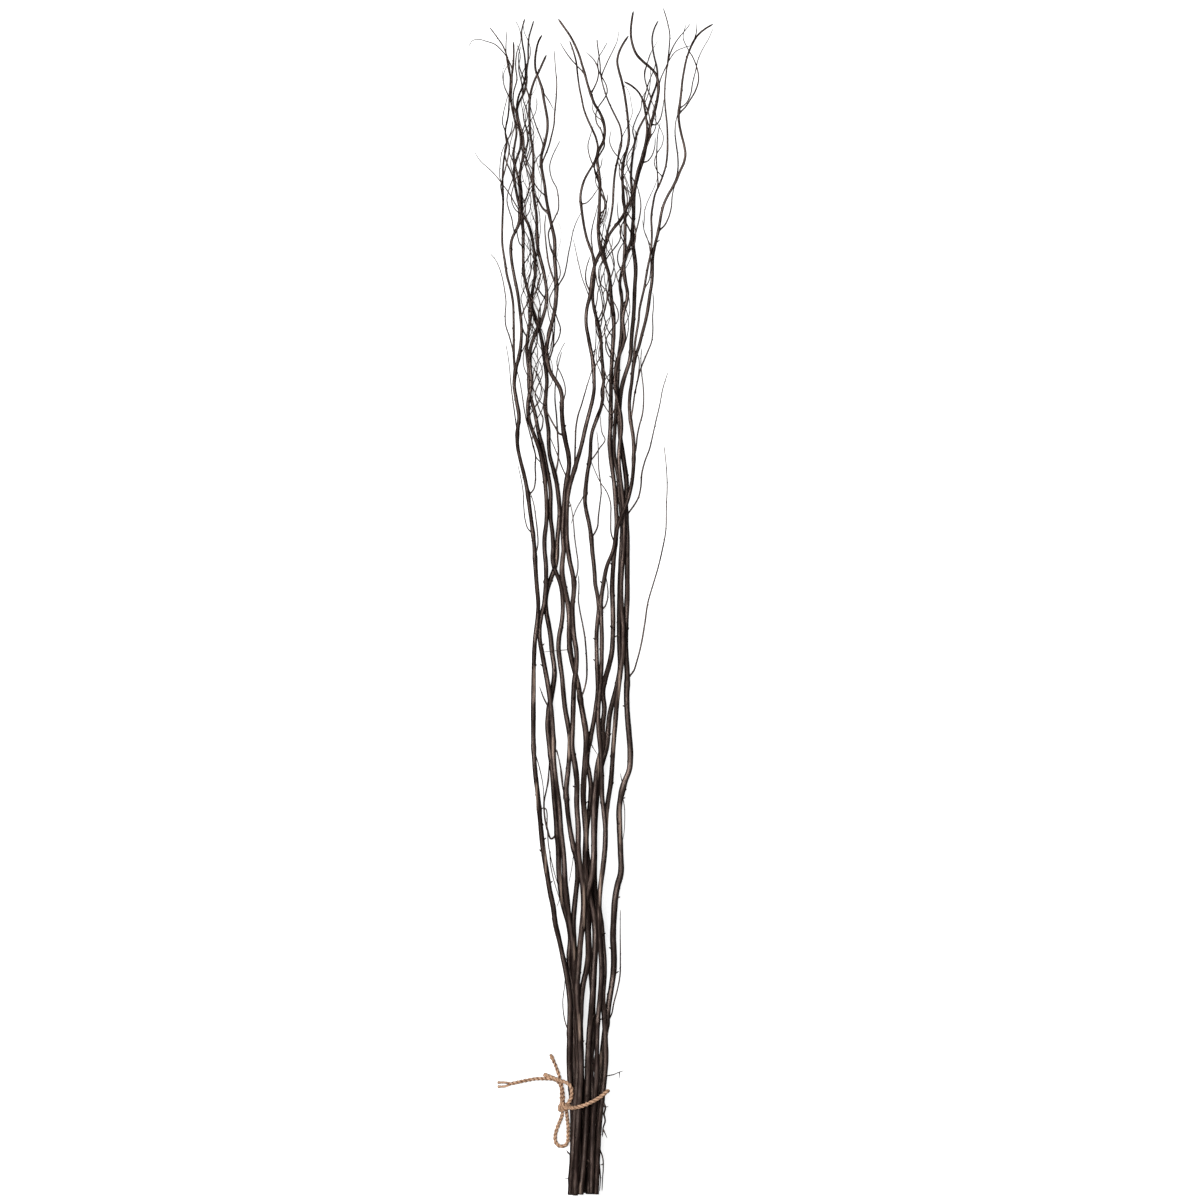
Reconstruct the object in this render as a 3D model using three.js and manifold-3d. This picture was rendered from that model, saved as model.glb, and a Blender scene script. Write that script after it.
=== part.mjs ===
// A bunch of twelve dried curly willow stems, tied with jute twine and laid flat.
// Millimetres, +Z up. The cut ends are at low Y and the tips point towards +Y.
import * as THREE from "three";
import { mergeVertices } from "three/addons/utils/BufferGeometryUtils.js";
import Module from "manifold-3d";

const wasm = await Module();
wasm.setup();

// Driving dimensions.
const TWINE = 4.5; // diameter of the twine
const TIE_SPAN = [-24, 32]; // from side to side of the bunch
const KNOT = { x: -24, y: 111, z: 12, wide: 11, long: 12, high: 10 };
const GAP = 0.5; // air between two stems that lie on each other
const FIT = 0.3; // air between the twine and what it touches
const SLANT = 1.2; // a stem crossed at a slant is this much wider
const STIFF_RADIUS = 700; // tightest upward bend that a stem takes where it lies over another
const SETTLE_PASSES = 60;
const WALK = 2; // distance between the places where a stem is tested for clearance
const STEM_SIDES = 5;
const TWIG_SIDES = 3;
const TWINE_SIDES = 8;
const TWINE_STEP = 8; // distance between rings of the twine
const SPREAD_FROM = 450; // distance from the cut ends where the stems start to spring apart
const SPREAD_TO = 1480;
const CURL_LENGTH = 170; // length of one upward curl
const TAPER = 2; // 1 is an even taper; above it a stem keeps its girth for longer
const TWIG_TIP = 0.45; // share of a twig's start radius that is left at its tip

const BARK = new THREE.MeshStandardMaterial({ color: 0x4b403c, roughness: 0.62, metalness: 0 });
const JUTE = new THREE.MeshStandardMaterial({ color: 0xc89b6e, roughness: 0.9, metalness: 0 });

// Each stem: butt and tip radius, how far its tip springs up, how much it curls up and down,
// and the points that its axis follows from the cut end to the tip. A twig starts at the nearest
// point of its own stem. The stems are laid down in the order of this list.
const STEMS = [
  {
    name: "stem_02", butt: 3.6, tip: 0.9, spring: 0, curl: 0,
    route: [
      [-8, 2], [-9, 40], [-10, 80], [-11, 120], [-12.5, 160], [-13, 200], [-13.3, 240], [-15, 265],
      [-18, 283], [-18.5, 302], [-17, 320], [-19.5, 341], [-25, 360], [-29, 382], [-31.5, 405],
      [-32, 430], [-34, 460], [-37.5, 500], [-40, 535], [-43.5, 565], [-45.7, 590], [-43, 612],
      [-39.5, 632], [-37, 655], [-40, 680], [-42, 700], [-44.5, 715], [-47.3, 730], [-48, 746],
      [-45.5, 760], [-41.5, 772], [-37, 784], [-34.3, 798], [-33.5, 818], [-31.5, 840], [-30.7, 858],
      [-32.5, 878], [-35, 895], [-39, 911], [-43, 926], [-44.3, 942], [-44.5, 957], [-47, 974],
      [-48.7, 988], [-47.7, 1003], [-46.5, 1019], [-48, 1035], [-50.5, 1053], [-52.5, 1068],
      [-56, 1083], [-61, 1096], [-64.7, 1110], [-65.3, 1125], [-63.5, 1139], [-61, 1153], [-61.5, 1170],
      [-63.5, 1188], [-66, 1203], [-70, 1216], [-76, 1227], [-81.5, 1241], [-85, 1257], [-87.5, 1272],
      [-87.5, 1286], [-84, 1299], [-80, 1311], [-79.5, 1327], [-83.5, 1343], [-84.5, 1356],
      [-81, 1369], [-75, 1381], [-72, 1394], [-72, 1408], [-70, 1422], [-70, 1436], [-69, 1450],
      [-66, 1461], [-63, 1471],
    ],
    twigs: [
      { thick: 1.2, route: [[-34, 452], [-41, 446], [-46, 458], [-49.5, 476], [-50, 492], [-46.5, 510],
        [-44.5, 527], [-43.5, 545]] },
      { thick: 1.0, route: [[-44, 609], [-50, 621], [-56, 637]] },
      { thick: 1.1, route: [[-36.5, 901], [-33, 917], [-32, 932], [-33, 948], [-33.7, 963],
        [-34.7, 978], [-36.3, 994], [-36, 1014], [-34, 1031], [-31, 1045], [-28, 1056]] },
      { thick: 1.0, route: [[-86.5, 1268], [-91.5, 1281], [-97, 1293], [-99.5, 1307], [-96, 1320],
        [-91, 1333], [-89, 1346]] },
      { thick: 0.8, route: [[-84.5, 1354], [-90, 1364], [-95, 1377], [-100.5, 1391], [-100.5, 1405],
        [-96, 1415]] },
      { thick: 0.8, route: [[-75, 1381], [-79, 1396], [-82, 1412], [-80, 1428], [-84, 1441]] },
    ],
  },
  {
    name: "stem_04", butt: 3.4, tip: 0.9, spring: 12, curl: 3,
    route: [
      [1, 3], [0, 50], [-1.5, 100], [-3, 150], [-4, 200], [-6, 240], [-9, 275], [-12, 310],
      [-13.5, 338], [-12, 361], [-9.8, 382], [-8, 400], [-8.8, 418], [-12, 432], [-15.5, 447],
      [-18.5, 465], [-21, 485], [-22.2, 509], [-20, 531], [-18.3, 552], [-17.8, 572], [-20.3, 590],
      [-23.8, 610], [-26, 630], [-27.7, 650], [-30.3, 669], [-32, 686], [-31, 700], [-28.5, 713],
      [-26.8, 728], [-26.8, 745], [-28.5, 760], [-31.8, 772], [-36.5, 783], [-39.3, 795],
      [-38.7, 812], [-39.5, 829], [-41.7, 846], [-42, 862], [-41.7, 879], [-43.7, 895], [-46.7, 911],
      [-49.5, 926], [-53, 940], [-56.5, 953], [-59, 966], [-61.5, 979], [-65, 992], [-68.3, 1005],
      [-69.2, 1020], [-69.2, 1033], [-70.5, 1046], [-71.7, 1059], [-70.5, 1073], [-68.5, 1087],
      [-66.7, 1101], [-67, 1116], [-69.5, 1129], [-72.5, 1140], [-75, 1152], [-76, 1168],
      [-76, 1186], [-76, 1204], [-77, 1222], [-78, 1240], [-78.3, 1258], [-80, 1272], [-79, 1286],
      [-76.5, 1299], [-75.5, 1312], [-76.5, 1326], [-80, 1339], [-83, 1351], [-84, 1363],
      [-81.5, 1376], [-77, 1387], [-73.5, 1399], [-73.3, 1412], [-74.5, 1427], [-77, 1441],
      [-78, 1456], [-74, 1472],
    ],
    twigs: [
      { thick: 1.1, route: [[-22, 497], [-25.5, 507], [-28, 521], [-29.7, 537], [-34, 558]] },
      { thick: 0.9, route: [[-82.5, 1352], [-88, 1364], [-88, 1380], [-84, 1396], [-85.5, 1412],
        [-84, 1430], [-79, 1446], [-81, 1460], [-86, 1470]] },
      { thick: 0.8, route: [[-76.3, 1300], [-71, 1312], [-70, 1328], [-73.5, 1344], [-72, 1358]] },
    ],
  },
  {
    name: "stem_10", butt: 3.5, tip: 0.9, spring: 0, curl: 0,
    route: [
      [5.5, 2], [6.5, 50], [7.5, 100], [7, 150], [8.5, 200], [11, 240], [13, 280], [15, 320],
      [15.5, 350], [14, 375], [13, 400], [13.3, 430], [13.7, 460], [15.5, 490], [17.5, 511],
      [20, 530], [24.5, 546], [28.5, 561], [30, 580], [32, 600], [36.5, 620], [41.5, 640],
      [45, 660], [44.5, 680], [43.7, 700], [43.8, 730], [44.5, 760], [45.5, 790], [47, 815],
      [47.7, 840], [46, 860], [43.7, 880], [43, 896], [40.5, 911], [38, 926], [37.5, 941],
      [38.3, 956], [39.3, 970], [40, 985], [41.3, 1000], [41.7, 1013], [42.5, 1026], [43, 1040],
      [44, 1053], [45.5, 1066], [46.7, 1079], [47, 1092], [47, 1105], [47.5, 1118], [46.5, 1130],
      [44.8, 1141], [46.3, 1152], [49, 1163], [52, 1173], [55, 1183], [58.5, 1194], [60.7, 1206],
      [61.5, 1219], [61.5, 1233], [60.2, 1247], [59.7, 1261], [58.7, 1276], [59.7, 1291],
      [61.5, 1306], [64, 1320], [68, 1334], [73.5, 1345], [79, 1355], [82.3, 1367], [86, 1378],
      [90, 1389], [92, 1401], [91, 1413], [88, 1425], [86, 1437], [85.3, 1449], [88, 1461], [93, 1471],
    ],
    twigs: [
      { thick: 0.8, route: [[80.5, 1360], [84, 1371], [79, 1387], [76, 1401], [78, 1413],
        [81.5, 1424], [86, 1436]] },
      { thick: 0.8, route: [[64, 1320], [61, 1333], [65, 1347], [71, 1360], [73, 1374], [79, 1385]] },
    ],
  },
  {
    name: "stem_03", butt: 3.5, tip: 1.4, spring: 20, curl: 4,
    route: [
      [-3.5, 2.5], [-5, 50], [-6.5, 100], [-8, 150], [-8.5, 200], [-9.5, 240], [-12, 280],
      [-15, 320], [-19, 350], [-21.2, 371], [-23.3, 390], [-25.7, 430], [-28.3, 452], [-32, 498],
      [-35.5, 522], [-38, 548], [-38.5, 572], [-40.3, 598], [-42.5, 620], [-45.5, 641], [-49, 660],
      [-52.5, 679], [-55.3, 695], [-55.5, 711], [-53.3, 726], [-50, 739], [-48.3, 754], [-47.5, 771],
      [-47.7, 790], [-49.3, 808], [-49.3, 823], [-47.3, 840], [-46.7, 861], [-47.7, 881],
      [-49.5, 899], [-52, 915], [-55, 930], [-59.5, 944], [-64.5, 957], [-68.5, 969], [-70, 982],
      [-69.5, 995], [-67, 1007], [-66, 1020], [-67, 1033], [-67.7, 1046], [-67.3, 1057],
      [-64.7, 1068], [-60.5, 1078], [-56, 1087], [-52, 1097], [-48.7, 1108], [-46.8, 1120],
      [-46.8, 1132], [-48.7, 1146], [-51, 1158], [-54, 1169], [-57, 1181], [-58.7, 1194],
      [-59, 1209], [-59.3, 1225], [-61.5, 1241], [-63.3, 1256], [-63.6, 1273], [-63.2, 1291],
      [-64, 1308], [-66.7, 1324], [-68, 1341], [-68.3, 1358], [-67.5, 1373], [-65, 1385],
      [-61, 1396], [-56.5, 1405], [-52, 1415], [-47, 1426],
    ],
    twigs: [
      { thick: 1.0, route: [[-55.3, 1089], [-57, 1100], [-55, 1111], [-50.5, 1121], [-47.2, 1131]] },
      { thick: 1.0, route: [[-47, 1121], [-53.5, 1128], [-58, 1137], [-56, 1147], [-51.5, 1156]] },
      { thick: 0.9, route: [[-63.3, 1262], [-68, 1276], [-73, 1287], [-76, 1300], [-72, 1313],
        [-66, 1324]] },
      { thick: 1.0, route: [[-67.6, 1372], [-72, 1384], [-75.5, 1397], [-80, 1409], [-82, 1424],
        [-79, 1437]] },
    ],
  },
  {
    name: "stem_07", butt: 3.4, tip: 1.0, spring: 18, curl: 4,
    route: [
      [10, 3], [10.5, 40], [10.7, 80], [10.5, 120], [9, 150], [9.2, 172], [11, 195], [11.5, 222],
      [10.5, 252], [8, 290], [6, 330], [7, 362], [8.5, 388], [6, 413], [3.2, 435], [3.3, 456],
      [6, 478], [8, 498], [8.5, 514], [6.5, 528], [3.7, 541], [5, 557], [8, 572], [11.5, 590],
      [14.8, 610], [17.3, 630], [17, 650], [16.2, 666], [15.8, 683], [15.7, 701], [17, 719],
      [18.5, 736], [16.7, 751], [14, 765], [13.2, 778], [12, 792], [10.5, 805], [9.5, 819],
      [8, 831], [5.7, 844], [3, 856], [1.3, 868], [1.8, 881], [3, 894], [4.7, 907], [7, 919],
      [8, 931], [8.5, 944], [10.2, 955], [13.5, 965], [17.3, 975], [21, 985], [23.4, 997],
      [23.7, 1010], [24.7, 1022], [23.7, 1034], [22.5, 1047], [21.7, 1060], [21, 1072], [19, 1083],
      [16.3, 1094], [13.8, 1105], [11.5, 1116], [11, 1129], [12.3, 1142], [13, 1155], [12.8, 1167],
      [10.5, 1178], [7, 1187], [3.5, 1197], [0.7, 1209], [-1.5, 1222], [-3.2, 1235], [-4.5, 1248],
      [-2.5, 1261], [1.3, 1272], [6.3, 1281], [11.2, 1289], [15.3, 1299], [17.3, 1311],
      [14.8, 1323], [10, 1334], [4.5, 1346], [0, 1358], [-3, 1372], [-6, 1387], [-8, 1402],
      [-9.5, 1416], [-13, 1430], [-18, 1444],
    ],
    twigs: [
      { thick: 1.0, route: [[9.3, 823], [13.5, 829], [16.7, 836], [18, 849], [20, 866], [21.5, 880],
        [20.5, 893], [18.5, 909], [18, 925], [17.5, 941], [16, 956]] },
      { thick: 0.7, route: [[1.6, 879], [-4, 869], [-9.5, 859], [-13, 850], [-16.5, 839]] },
      { thick: 0.9, route: [[7, 918], [13, 925], [19.5, 935], [26.3, 946], [23, 953], [21.3, 962],
        [20.5, 975]] },
      { thick: 0.9, route: [[17, 1091], [22.5, 1098], [26.3, 1108], [28.3, 1119], [28.5, 1131],
        [26, 1143], [25, 1156]] },
      { thick: 0.8, route: [[13.5, 1107], [16, 1118], [17.3, 1130], [20.5, 1141], [22.5, 1153]] },
      { thick: 0.9, route: [[12.7, 1171], [10.3, 1186], [9, 1200], [11, 1214], [14.7, 1228],
        [17.5, 1240]] },
      { thick: 0.8, route: [[-4, 1240], [2, 1241], [8.5, 1246.5], [14, 1254], [20, 1263]] },
    ],
  },
  {
    name: "stem_01", butt: 3.4, tip: 1.1, spring: 26, curl: 4,
    route: [
      [-14, 2], [-14.6, 40], [-14, 75], [-14.4, 105], [-16.5, 130], [-18, 150], [-18.2, 200],
      [-18.3, 250], [-21, 270], [-26.5, 299], [-31, 320], [-36, 341], [-38.5, 361], [-42.5, 380],
      [-46, 401], [-50.7, 430], [-54, 460], [-57.5, 499], [-61, 530], [-63, 560], [-63.3, 600],
      [-63.2, 630], [-62.8, 662], [-61, 698], [-58.3, 720], [-57.2, 740], [-59, 763], [-60.8, 789],
      [-62.3, 814], [-65, 838], [-68, 860], [-70.5, 879], [-74.5, 900], [-79.3, 919], [-83, 937],
      [-83.3, 954], [-81.2, 974], [-84.5, 995], [-87.2, 1014], [-85.3, 1033], [-81, 1050],
      [-78.5, 1069], [-78.3, 1089], [-80.3, 1108], [-83, 1129], [-87, 1149], [-90.3, 1168],
      [-91.5, 1184], [-90, 1196], [-86, 1205], [-81.7, 1214], [-80.3, 1228], [-80, 1243],
      [-80.3, 1258], [-82.5, 1273], [-86, 1287], [-88, 1301], [-86.3, 1315], [-84.3, 1328],
      [-86, 1342], [-89, 1355], [-91, 1369], [-90.5, 1385], [-90, 1400], [-88.3, 1415],
      [-87.7, 1429], [-88, 1442],
    ],
    twigs: [
      { thick: 0.8, route: [[-18.3, 204], [-22.3, 213], [-25.3, 226], [-26.5, 243], [-24.5, 261],
        [-23.5, 275]] },
      { thick: 0.8, route: [[-64, 828], [-70, 834], [-73.3, 844], [-75.3, 862], [-76.3, 882],
        [-79.5, 900], [-83, 915]] },
      { thick: 0.9, route: [[-61.5, 798], [-57.7, 814], [-58.3, 831], [-60.3, 848], [-63, 866],
        [-69, 884]] },
      { thick: 1.0, route: [[-70, 876], [-63.7, 882], [-60.7, 895], [-61, 911], [-60.7, 926],
        [-64, 940], [-68, 955], [-72, 970], [-75, 985], [-77.3, 1001], [-80, 1017], [-84, 1033]] },
      { thick: 0.8, route: [[-83, 952], [-85.5, 969], [-88, 988], [-90.3, 1005], [-92, 1022],
        [-93.5, 1039], [-95.5, 1053], [-98, 1066]] },
      { thick: 1.6, route: [[-86, 1028], [-87.5, 1046], [-87.7, 1074], [-88, 1099], [-88.7, 1117],
        [-91.5, 1133], [-96, 1150], [-99, 1169], [-102, 1189], [-102, 1216], [-101, 1245],
        [-101.7, 1273], [-99.7, 1299], [-96.7, 1314], [-98.3, 1330], [-94.7, 1351], [-93.3, 1375],
        [-92.3, 1401], [-95, 1420], [-101, 1437], [-109, 1449], [-118, 1461]] },
      { thick: 0.9, route: [[-87.7, 1048], [-90, 1062], [-93.5, 1075], [-97.7, 1088], [-98.5, 1102],
        [-97.5, 1117], [-99, 1131], [-101.5, 1145], [-105, 1158], [-110.5, 1170], [-118, 1179]] },
      { thick: 0.8, route: [[-80.2, 1231], [-86, 1240], [-91, 1249], [-97, 1258], [-103, 1266],
        [-110.5, 1275.5], [-120, 1285], [-128.5, 1292.5], [-137, 1305]] },
      { thick: 0.8, route: [[-89, 1408], [-97, 1424], [-103.5, 1432], [-111.5, 1439], [-121.5, 1442.5],
        [-132, 1445], [-139, 1443.5], [-144, 1436]] },
      { thick: 0.9, route: [[-90.3, 1391], [-94.3, 1407], [-97, 1424], [-97.3, 1441], [-96, 1457]] },
    ],
  },
  {
    name: "stem_05", butt: 3.9, tip: 1.3, spring: 34, curl: 5,
    route: [
      [-4.5, 2.5], [-2.7, 20], [0, 46], [2, 76], [3.2, 104], [4.5, 140], [5.5, 180], [8, 220],
      [10.3, 246], [12.5, 286], [14.3, 315], [14, 336], [11.5, 355], [7.5, 372], [4, 388],
      [2, 405], [1.8, 429], [2.3, 450], [0.3, 480], [-0.9, 500], [-0.3, 521], [1.2, 541],
      [2.5, 560], [2.2, 580], [-1, 600], [-4.5, 620], [-7, 638], [-11, 654], [-15, 669],
      [-17.7, 684], [-18.5, 701], [-18.3, 720], [-19.7, 738], [-22.7, 753], [-25.7, 767],
      [-27.5, 781], [-26.7, 795], [-25.3, 808], [-26, 822], [-26.3, 837], [-25.3, 852],
      [-24.5, 868], [-23.3, 884], [-20.7, 899], [-18.7, 912], [-19.3, 926], [-22.3, 940],
      [-25, 954], [-27, 969], [-27.8, 986], [-27.7, 1000], [-30.3, 1010], [-35, 1018],
      [-40, 1026], [-44, 1035], [-46.3, 1046], [-46.7, 1057], [-45.3, 1068], [-42.7, 1080],
      [-39.7, 1092], [-37, 1104], [-35.3, 1117], [-34.5, 1131], [-34.8, 1146], [-35.7, 1160],
      [-36.7, 1173], [-36.3, 1186], [-37.3, 1199], [-40, 1211], [-42.7, 1223], [-45.3, 1236],
      [-47.5, 1249], [-49, 1262], [-51.3, 1275], [-53.3, 1287], [-53.3, 1298], [-51, 1308],
      [-48, 1319], [-45.7, 1331], [-45.5, 1343], [-47.5, 1356], [-50, 1369], [-52, 1382],
      [-56, 1394], [-60, 1405], [-61, 1418], [-59.5, 1431], [-56.7, 1442], [-52.5, 1450],
    ],
    twigs: [
      { thick: 1.2, route: [[-5, 621], [0, 632], [3, 645], [3.6, 662], [2.7, 681], [1, 699],
        [-2, 716], [-5, 731], [-7, 746], [-6.3, 760], [-6.7, 776]] },
      { thick: 0.9, route: [[-21, 897], [-27.5, 911], [-33, 926], [-38, 938], [-43, 950]] },
      { thick: 1.2, route: [[-25.3, 951], [-31, 953], [-35.3, 960], [-40, 968], [-44.5, 977],
        [-49, 985]] },
      { thick: 1.1, route: [[-45.5, 1041], [-41.7, 1050], [-38.7, 1061], [-37.5, 1075], [-36.5, 1089],
        [-36.2, 1104]] },
      { thick: 0.9, route: [[-34.6, 1134], [-29.5, 1142], [-25, 1150], [-22, 1162], [-19.3, 1178],
        [-16.3, 1192], [-13.7, 1205], [-10, 1216], [-3.5, 1229]] },
      { thick: 1.2, route: [[-35.5, 1138], [-39.5, 1150], [-44, 1165], [-46.3, 1180], [-48, 1196],
        [-49, 1212], [-47.5, 1227]] },
      { thick: 1.4, route: [[-45, 1228], [-50.5, 1233], [-56, 1242], [-61, 1251], [-66, 1262]] },
      { thick: 1.1, route: [[-53, 1289], [-48.3, 1300], [-44, 1311], [-40.3, 1325], [-37.3, 1339],
        [-36.5, 1353], [-34.8, 1370], [-34, 1390], [-35.7, 1410], [-37, 1431]] },
      { thick: 0.9, route: [[-50, 1311], [-54, 1322], [-59.5, 1336], [-64, 1350], [-68, 1365]] },
      { thick: 0.8, route: [[-51.5, 1379], [-44, 1368], [-37.5, 1356]] },
    ],
  },
  {
    name: "stem_09", butt: 3.6, tip: 1.3, spring: 30, curl: 4,
    route: [
      [-17, 2], [-15.5, 30], [-13.5, 55], [-12, 80], [-11.5, 105], [-9.5, 130], [-8, 150],
      [-6.5, 172], [-5.2, 200], [-4.3, 226], [-3.3, 247], [-1.3, 264], [2.5, 281], [5.3, 299],
      [5, 320], [3.5, 344], [3.2, 367], [5.5, 383], [9.3, 397], [11.5, 416], [12.3, 441],
      [12, 470], [12.5, 490], [14, 508], [15.3, 524], [17.5, 541], [22, 558], [23.5, 589],
      [25.5, 610], [23.7, 630], [27.3, 649], [31, 662], [34.8, 680], [36, 700], [36, 738],
      [35.2, 760], [36, 780], [37.5, 800], [39.5, 819], [41, 840], [40, 860], [38.7, 880],
      [37, 897], [35, 911], [33, 926], [32.2, 941], [32.7, 956], [33.5, 971], [33.5, 986],
      [33.7, 1001], [33.8, 1016], [34.2, 1031], [35, 1046], [36, 1060], [36.7, 1073],
      [37.3, 1086], [36.7, 1100], [35.3, 1113], [33.8, 1126], [33, 1138], [31.5, 1150],
      [28.5, 1161], [24.7, 1171], [21, 1182], [18.7, 1195], [18, 1211], [19, 1228], [19.5, 1244],
      [20, 1259], [19.3, 1272], [17.7, 1285], [16.2, 1296], [18.5, 1307], [23.7, 1317],
      [26, 1329], [24, 1343], [19, 1355], [13.3, 1364], [9, 1375], [5, 1387], [1.5, 1400],
      [-2, 1412], [-6, 1425], [-11.5, 1438], [-18, 1450], [-25, 1460], [-32, 1470],
    ],
    twigs: [
      { thick: 0.8, route: [[-13.9, 50], [-18, 53], [-22, 58]] },
      { thick: 0.9, route: [[39, 815], [34.3, 827], [33.5, 847], [33, 867], [28, 881], [20.5, 892],
        [14.3, 905], [9, 918]] },
      { thick: 0.9, route: [[35.2, 1049], [30, 1062], [26.5, 1075], [26, 1086], [29, 1094],
        [35, 1101]] },
      { thick: 1.5, route: [[24.5, 1171], [26, 1187], [29, 1203], [33, 1220], [36, 1240], [37, 1260],
        [39, 1280], [43, 1299], [46.5, 1313], [47, 1325], [45, 1337], [40, 1348], [34, 1360],
        [28.5, 1373], [24, 1387], [21, 1401], [20, 1415], [18, 1430], [16, 1445]] },
      { thick: 0.8, route: [[21.3, 1399], [26, 1410], [31, 1421], [37, 1433], [42, 1445], [43, 1456]] },
      { thick: 0.9, route: [[26, 1168], [32, 1177], [38.5, 1185], [44.5, 1194], [46, 1206], [43.5, 1218],
        [42, 1231], [42.5, 1243]] },
      { thick: 1.0, route: [[19, 1226], [25, 1232], [28.5, 1242], [30, 1253]] },
      { thick: 0.9, route: [[19.5, 1267], [15, 1279], [10.5, 1290], [6.5, 1301], [5, 1313],
        [8, 1325], [12, 1337]] },
      { thick: 1.0, route: [[8.3, 1377], [13, 1385], [17, 1395], [18, 1406], [14.5, 1416], [3, 1429]] },
      { thick: 0.9, route: [[0.8, 1402], [-8, 1411], [-17, 1421], [-24, 1431], [-30.5, 1442]] },
      { thick: 0.8, route: [[23.7, 1343], [15.5, 1349], [11, 1357], [10, 1367]] },
    ],
  },
  {
    name: "stem_12", butt: 3.9, tip: 1.4, spring: 38, curl: 5,
    route: [
      [12.7, 3], [13.5, 40], [15, 70], [17, 100], [18.7, 130], [20.5, 150], [22.3, 170],
      [25, 194], [28.3, 218], [31, 241], [34.5, 262], [37, 281], [37.3, 301], [36.3, 322],
      [37.3, 349], [39, 371], [42, 388], [45.7, 401], [45.7, 430], [44.3, 462], [44, 485],
      [46.5, 501], [51, 518], [56.5, 532], [58, 552], [56.3, 578], [54.3, 600], [53.3, 624],
      [54, 650], [52.7, 676], [52.2, 703], [53, 727], [54, 752], [54, 780], [54, 808],
      [53.7, 832], [52.7, 852], [52.3, 872], [53.3, 889], [52, 903], [50, 916], [48, 930],
      [45.7, 945], [44.5, 960], [44, 978], [45, 994], [46.7, 1008], [49.5, 1020], [53, 1031],
      [56.3, 1041], [58.5, 1053], [59, 1066], [60, 1080], [61.5, 1095], [62.5, 1110], [63, 1125],
      [63.7, 1140], [64.6, 1153], [64.3, 1164], [63, 1175], [61.3, 1187], [60.3, 1200],
      [61, 1214], [62, 1229], [62.2, 1243], [63.3, 1256], [65.7, 1267], [68.5, 1278],
      [72, 1289], [75.3, 1300], [77.3, 1312], [80, 1324], [82.5, 1335], [85.7, 1346], [89, 1358],
      [91.7, 1371], [93, 1385], [91, 1397], [86.5, 1405], [80, 1411], [73, 1417], [65.7, 1425],
      [60.7, 1437], [58.5, 1450], [59.3, 1465], [61.5, 1479],
    ],
    twigs: [
      { thick: 1.1, route: [[15.3, 77], [18.5, 63], [18, 50], [19.5, 37], [20.5, 22], [19.5, 6]] },
      { thick: 0.8, route: [[20.5, 149], [30, 150.5], [37, 152], [43, 154.5], [50, 157]] },
      { thick: 1.0, route: [[28, 215], [34, 226], [37.5, 242], [41.5, 257], [44.7, 273], [45.5, 300],
        [45.3, 330], [45.5, 358]] },
      { thick: 1.1, route: [[54, 640], [57.5, 650], [62, 656], [66, 668], [71, 687], [76, 715],
        [80, 742], [86, 763], [92, 783], [98, 808], [102, 829], [103, 860], [104, 890], [102.5, 917],
        [100, 938]] },
      { thick: 1.1, route: [[52.7, 850], [58, 857], [63, 864], [68, 873], [71, 886], [72.3, 903],
        [76, 918], [82, 934], [86, 951], [90, 969], [94.5, 988], [98.5, 1009], [105, 1030]] },
      { thick: 1.0, route: [[60.7, 1192], [65.3, 1206], [69, 1221], [71, 1237], [69.5, 1250],
        [66, 1263]] },
      { thick: 0.9, route: [[72.5, 1291], [78.5, 1292], [84, 1298], [88, 1309], [89, 1323]] },
      { thick: 0.9, route: [[83.5, 1338], [90, 1338], [95, 1345], [98, 1357], [100, 1371]] },
      { thick: 0.8, route: [[93, 1385], [96.5, 1397], [101.5, 1408], [107.5, 1420], [114.5, 1429],
        [124, 1433.5], [136, 1437]] },
    ],
  },
  {
    name: "stem_06", butt: 3.7, tip: 1.2, spring: 46, curl: 4,
    route: [
      [-11, 2], [-10.5, 30], [-9, 70], [-7, 110], [-4.5, 150], [-5, 190], [-7.5, 230], [-9, 262],
      [-6.5, 290], [-5, 312], [-2.5, 335], [-0.5, 358], [-1, 383], [-4.3, 408], [-7, 434],
      [-7.2, 460], [-9, 490], [-9, 520], [-11.5, 541], [-14.7, 560], [-14, 590], [-13.2, 619],
      [-12, 644], [-9.7, 661], [-9.5, 680], [-12.5, 700], [-14, 718], [-14.5, 738], [-12.8, 754],
      [-12.5, 767], [-14.7, 780], [-17.7, 793], [-19.7, 806], [-21.3, 821], [-21.7, 840],
      [-21.3, 858], [-20.3, 874], [-17.7, 888], [-14.3, 900], [-11, 911], [-7.7, 922],
      [-4.5, 933], [-1.5, 945], [1.3, 958], [4.3, 970], [7.7, 983], [10.7, 995], [12.7, 1008],
      [12.6, 1021], [12, 1034], [10.3, 1048], [7.7, 1061], [5.3, 1074], [3, 1087], [2.7, 1100],
      [4.3, 1112], [7.5, 1124], [9, 1137], [10.5, 1150], [13, 1161], [17, 1171], [22.5, 1180],
      [27.5, 1190], [31.3, 1200], [36.5, 1208], [42.3, 1215], [47.5, 1222], [51.5, 1230],
      [55.5, 1238], [59.3, 1247], [62, 1258], [64.5, 1269], [67, 1280], [70.5, 1291],
      [74, 1302], [76.7, 1314], [78.5, 1327], [78, 1341], [76, 1355], [73.3, 1368], [67, 1379],
      [59, 1386], [50, 1391],
    ],
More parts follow.
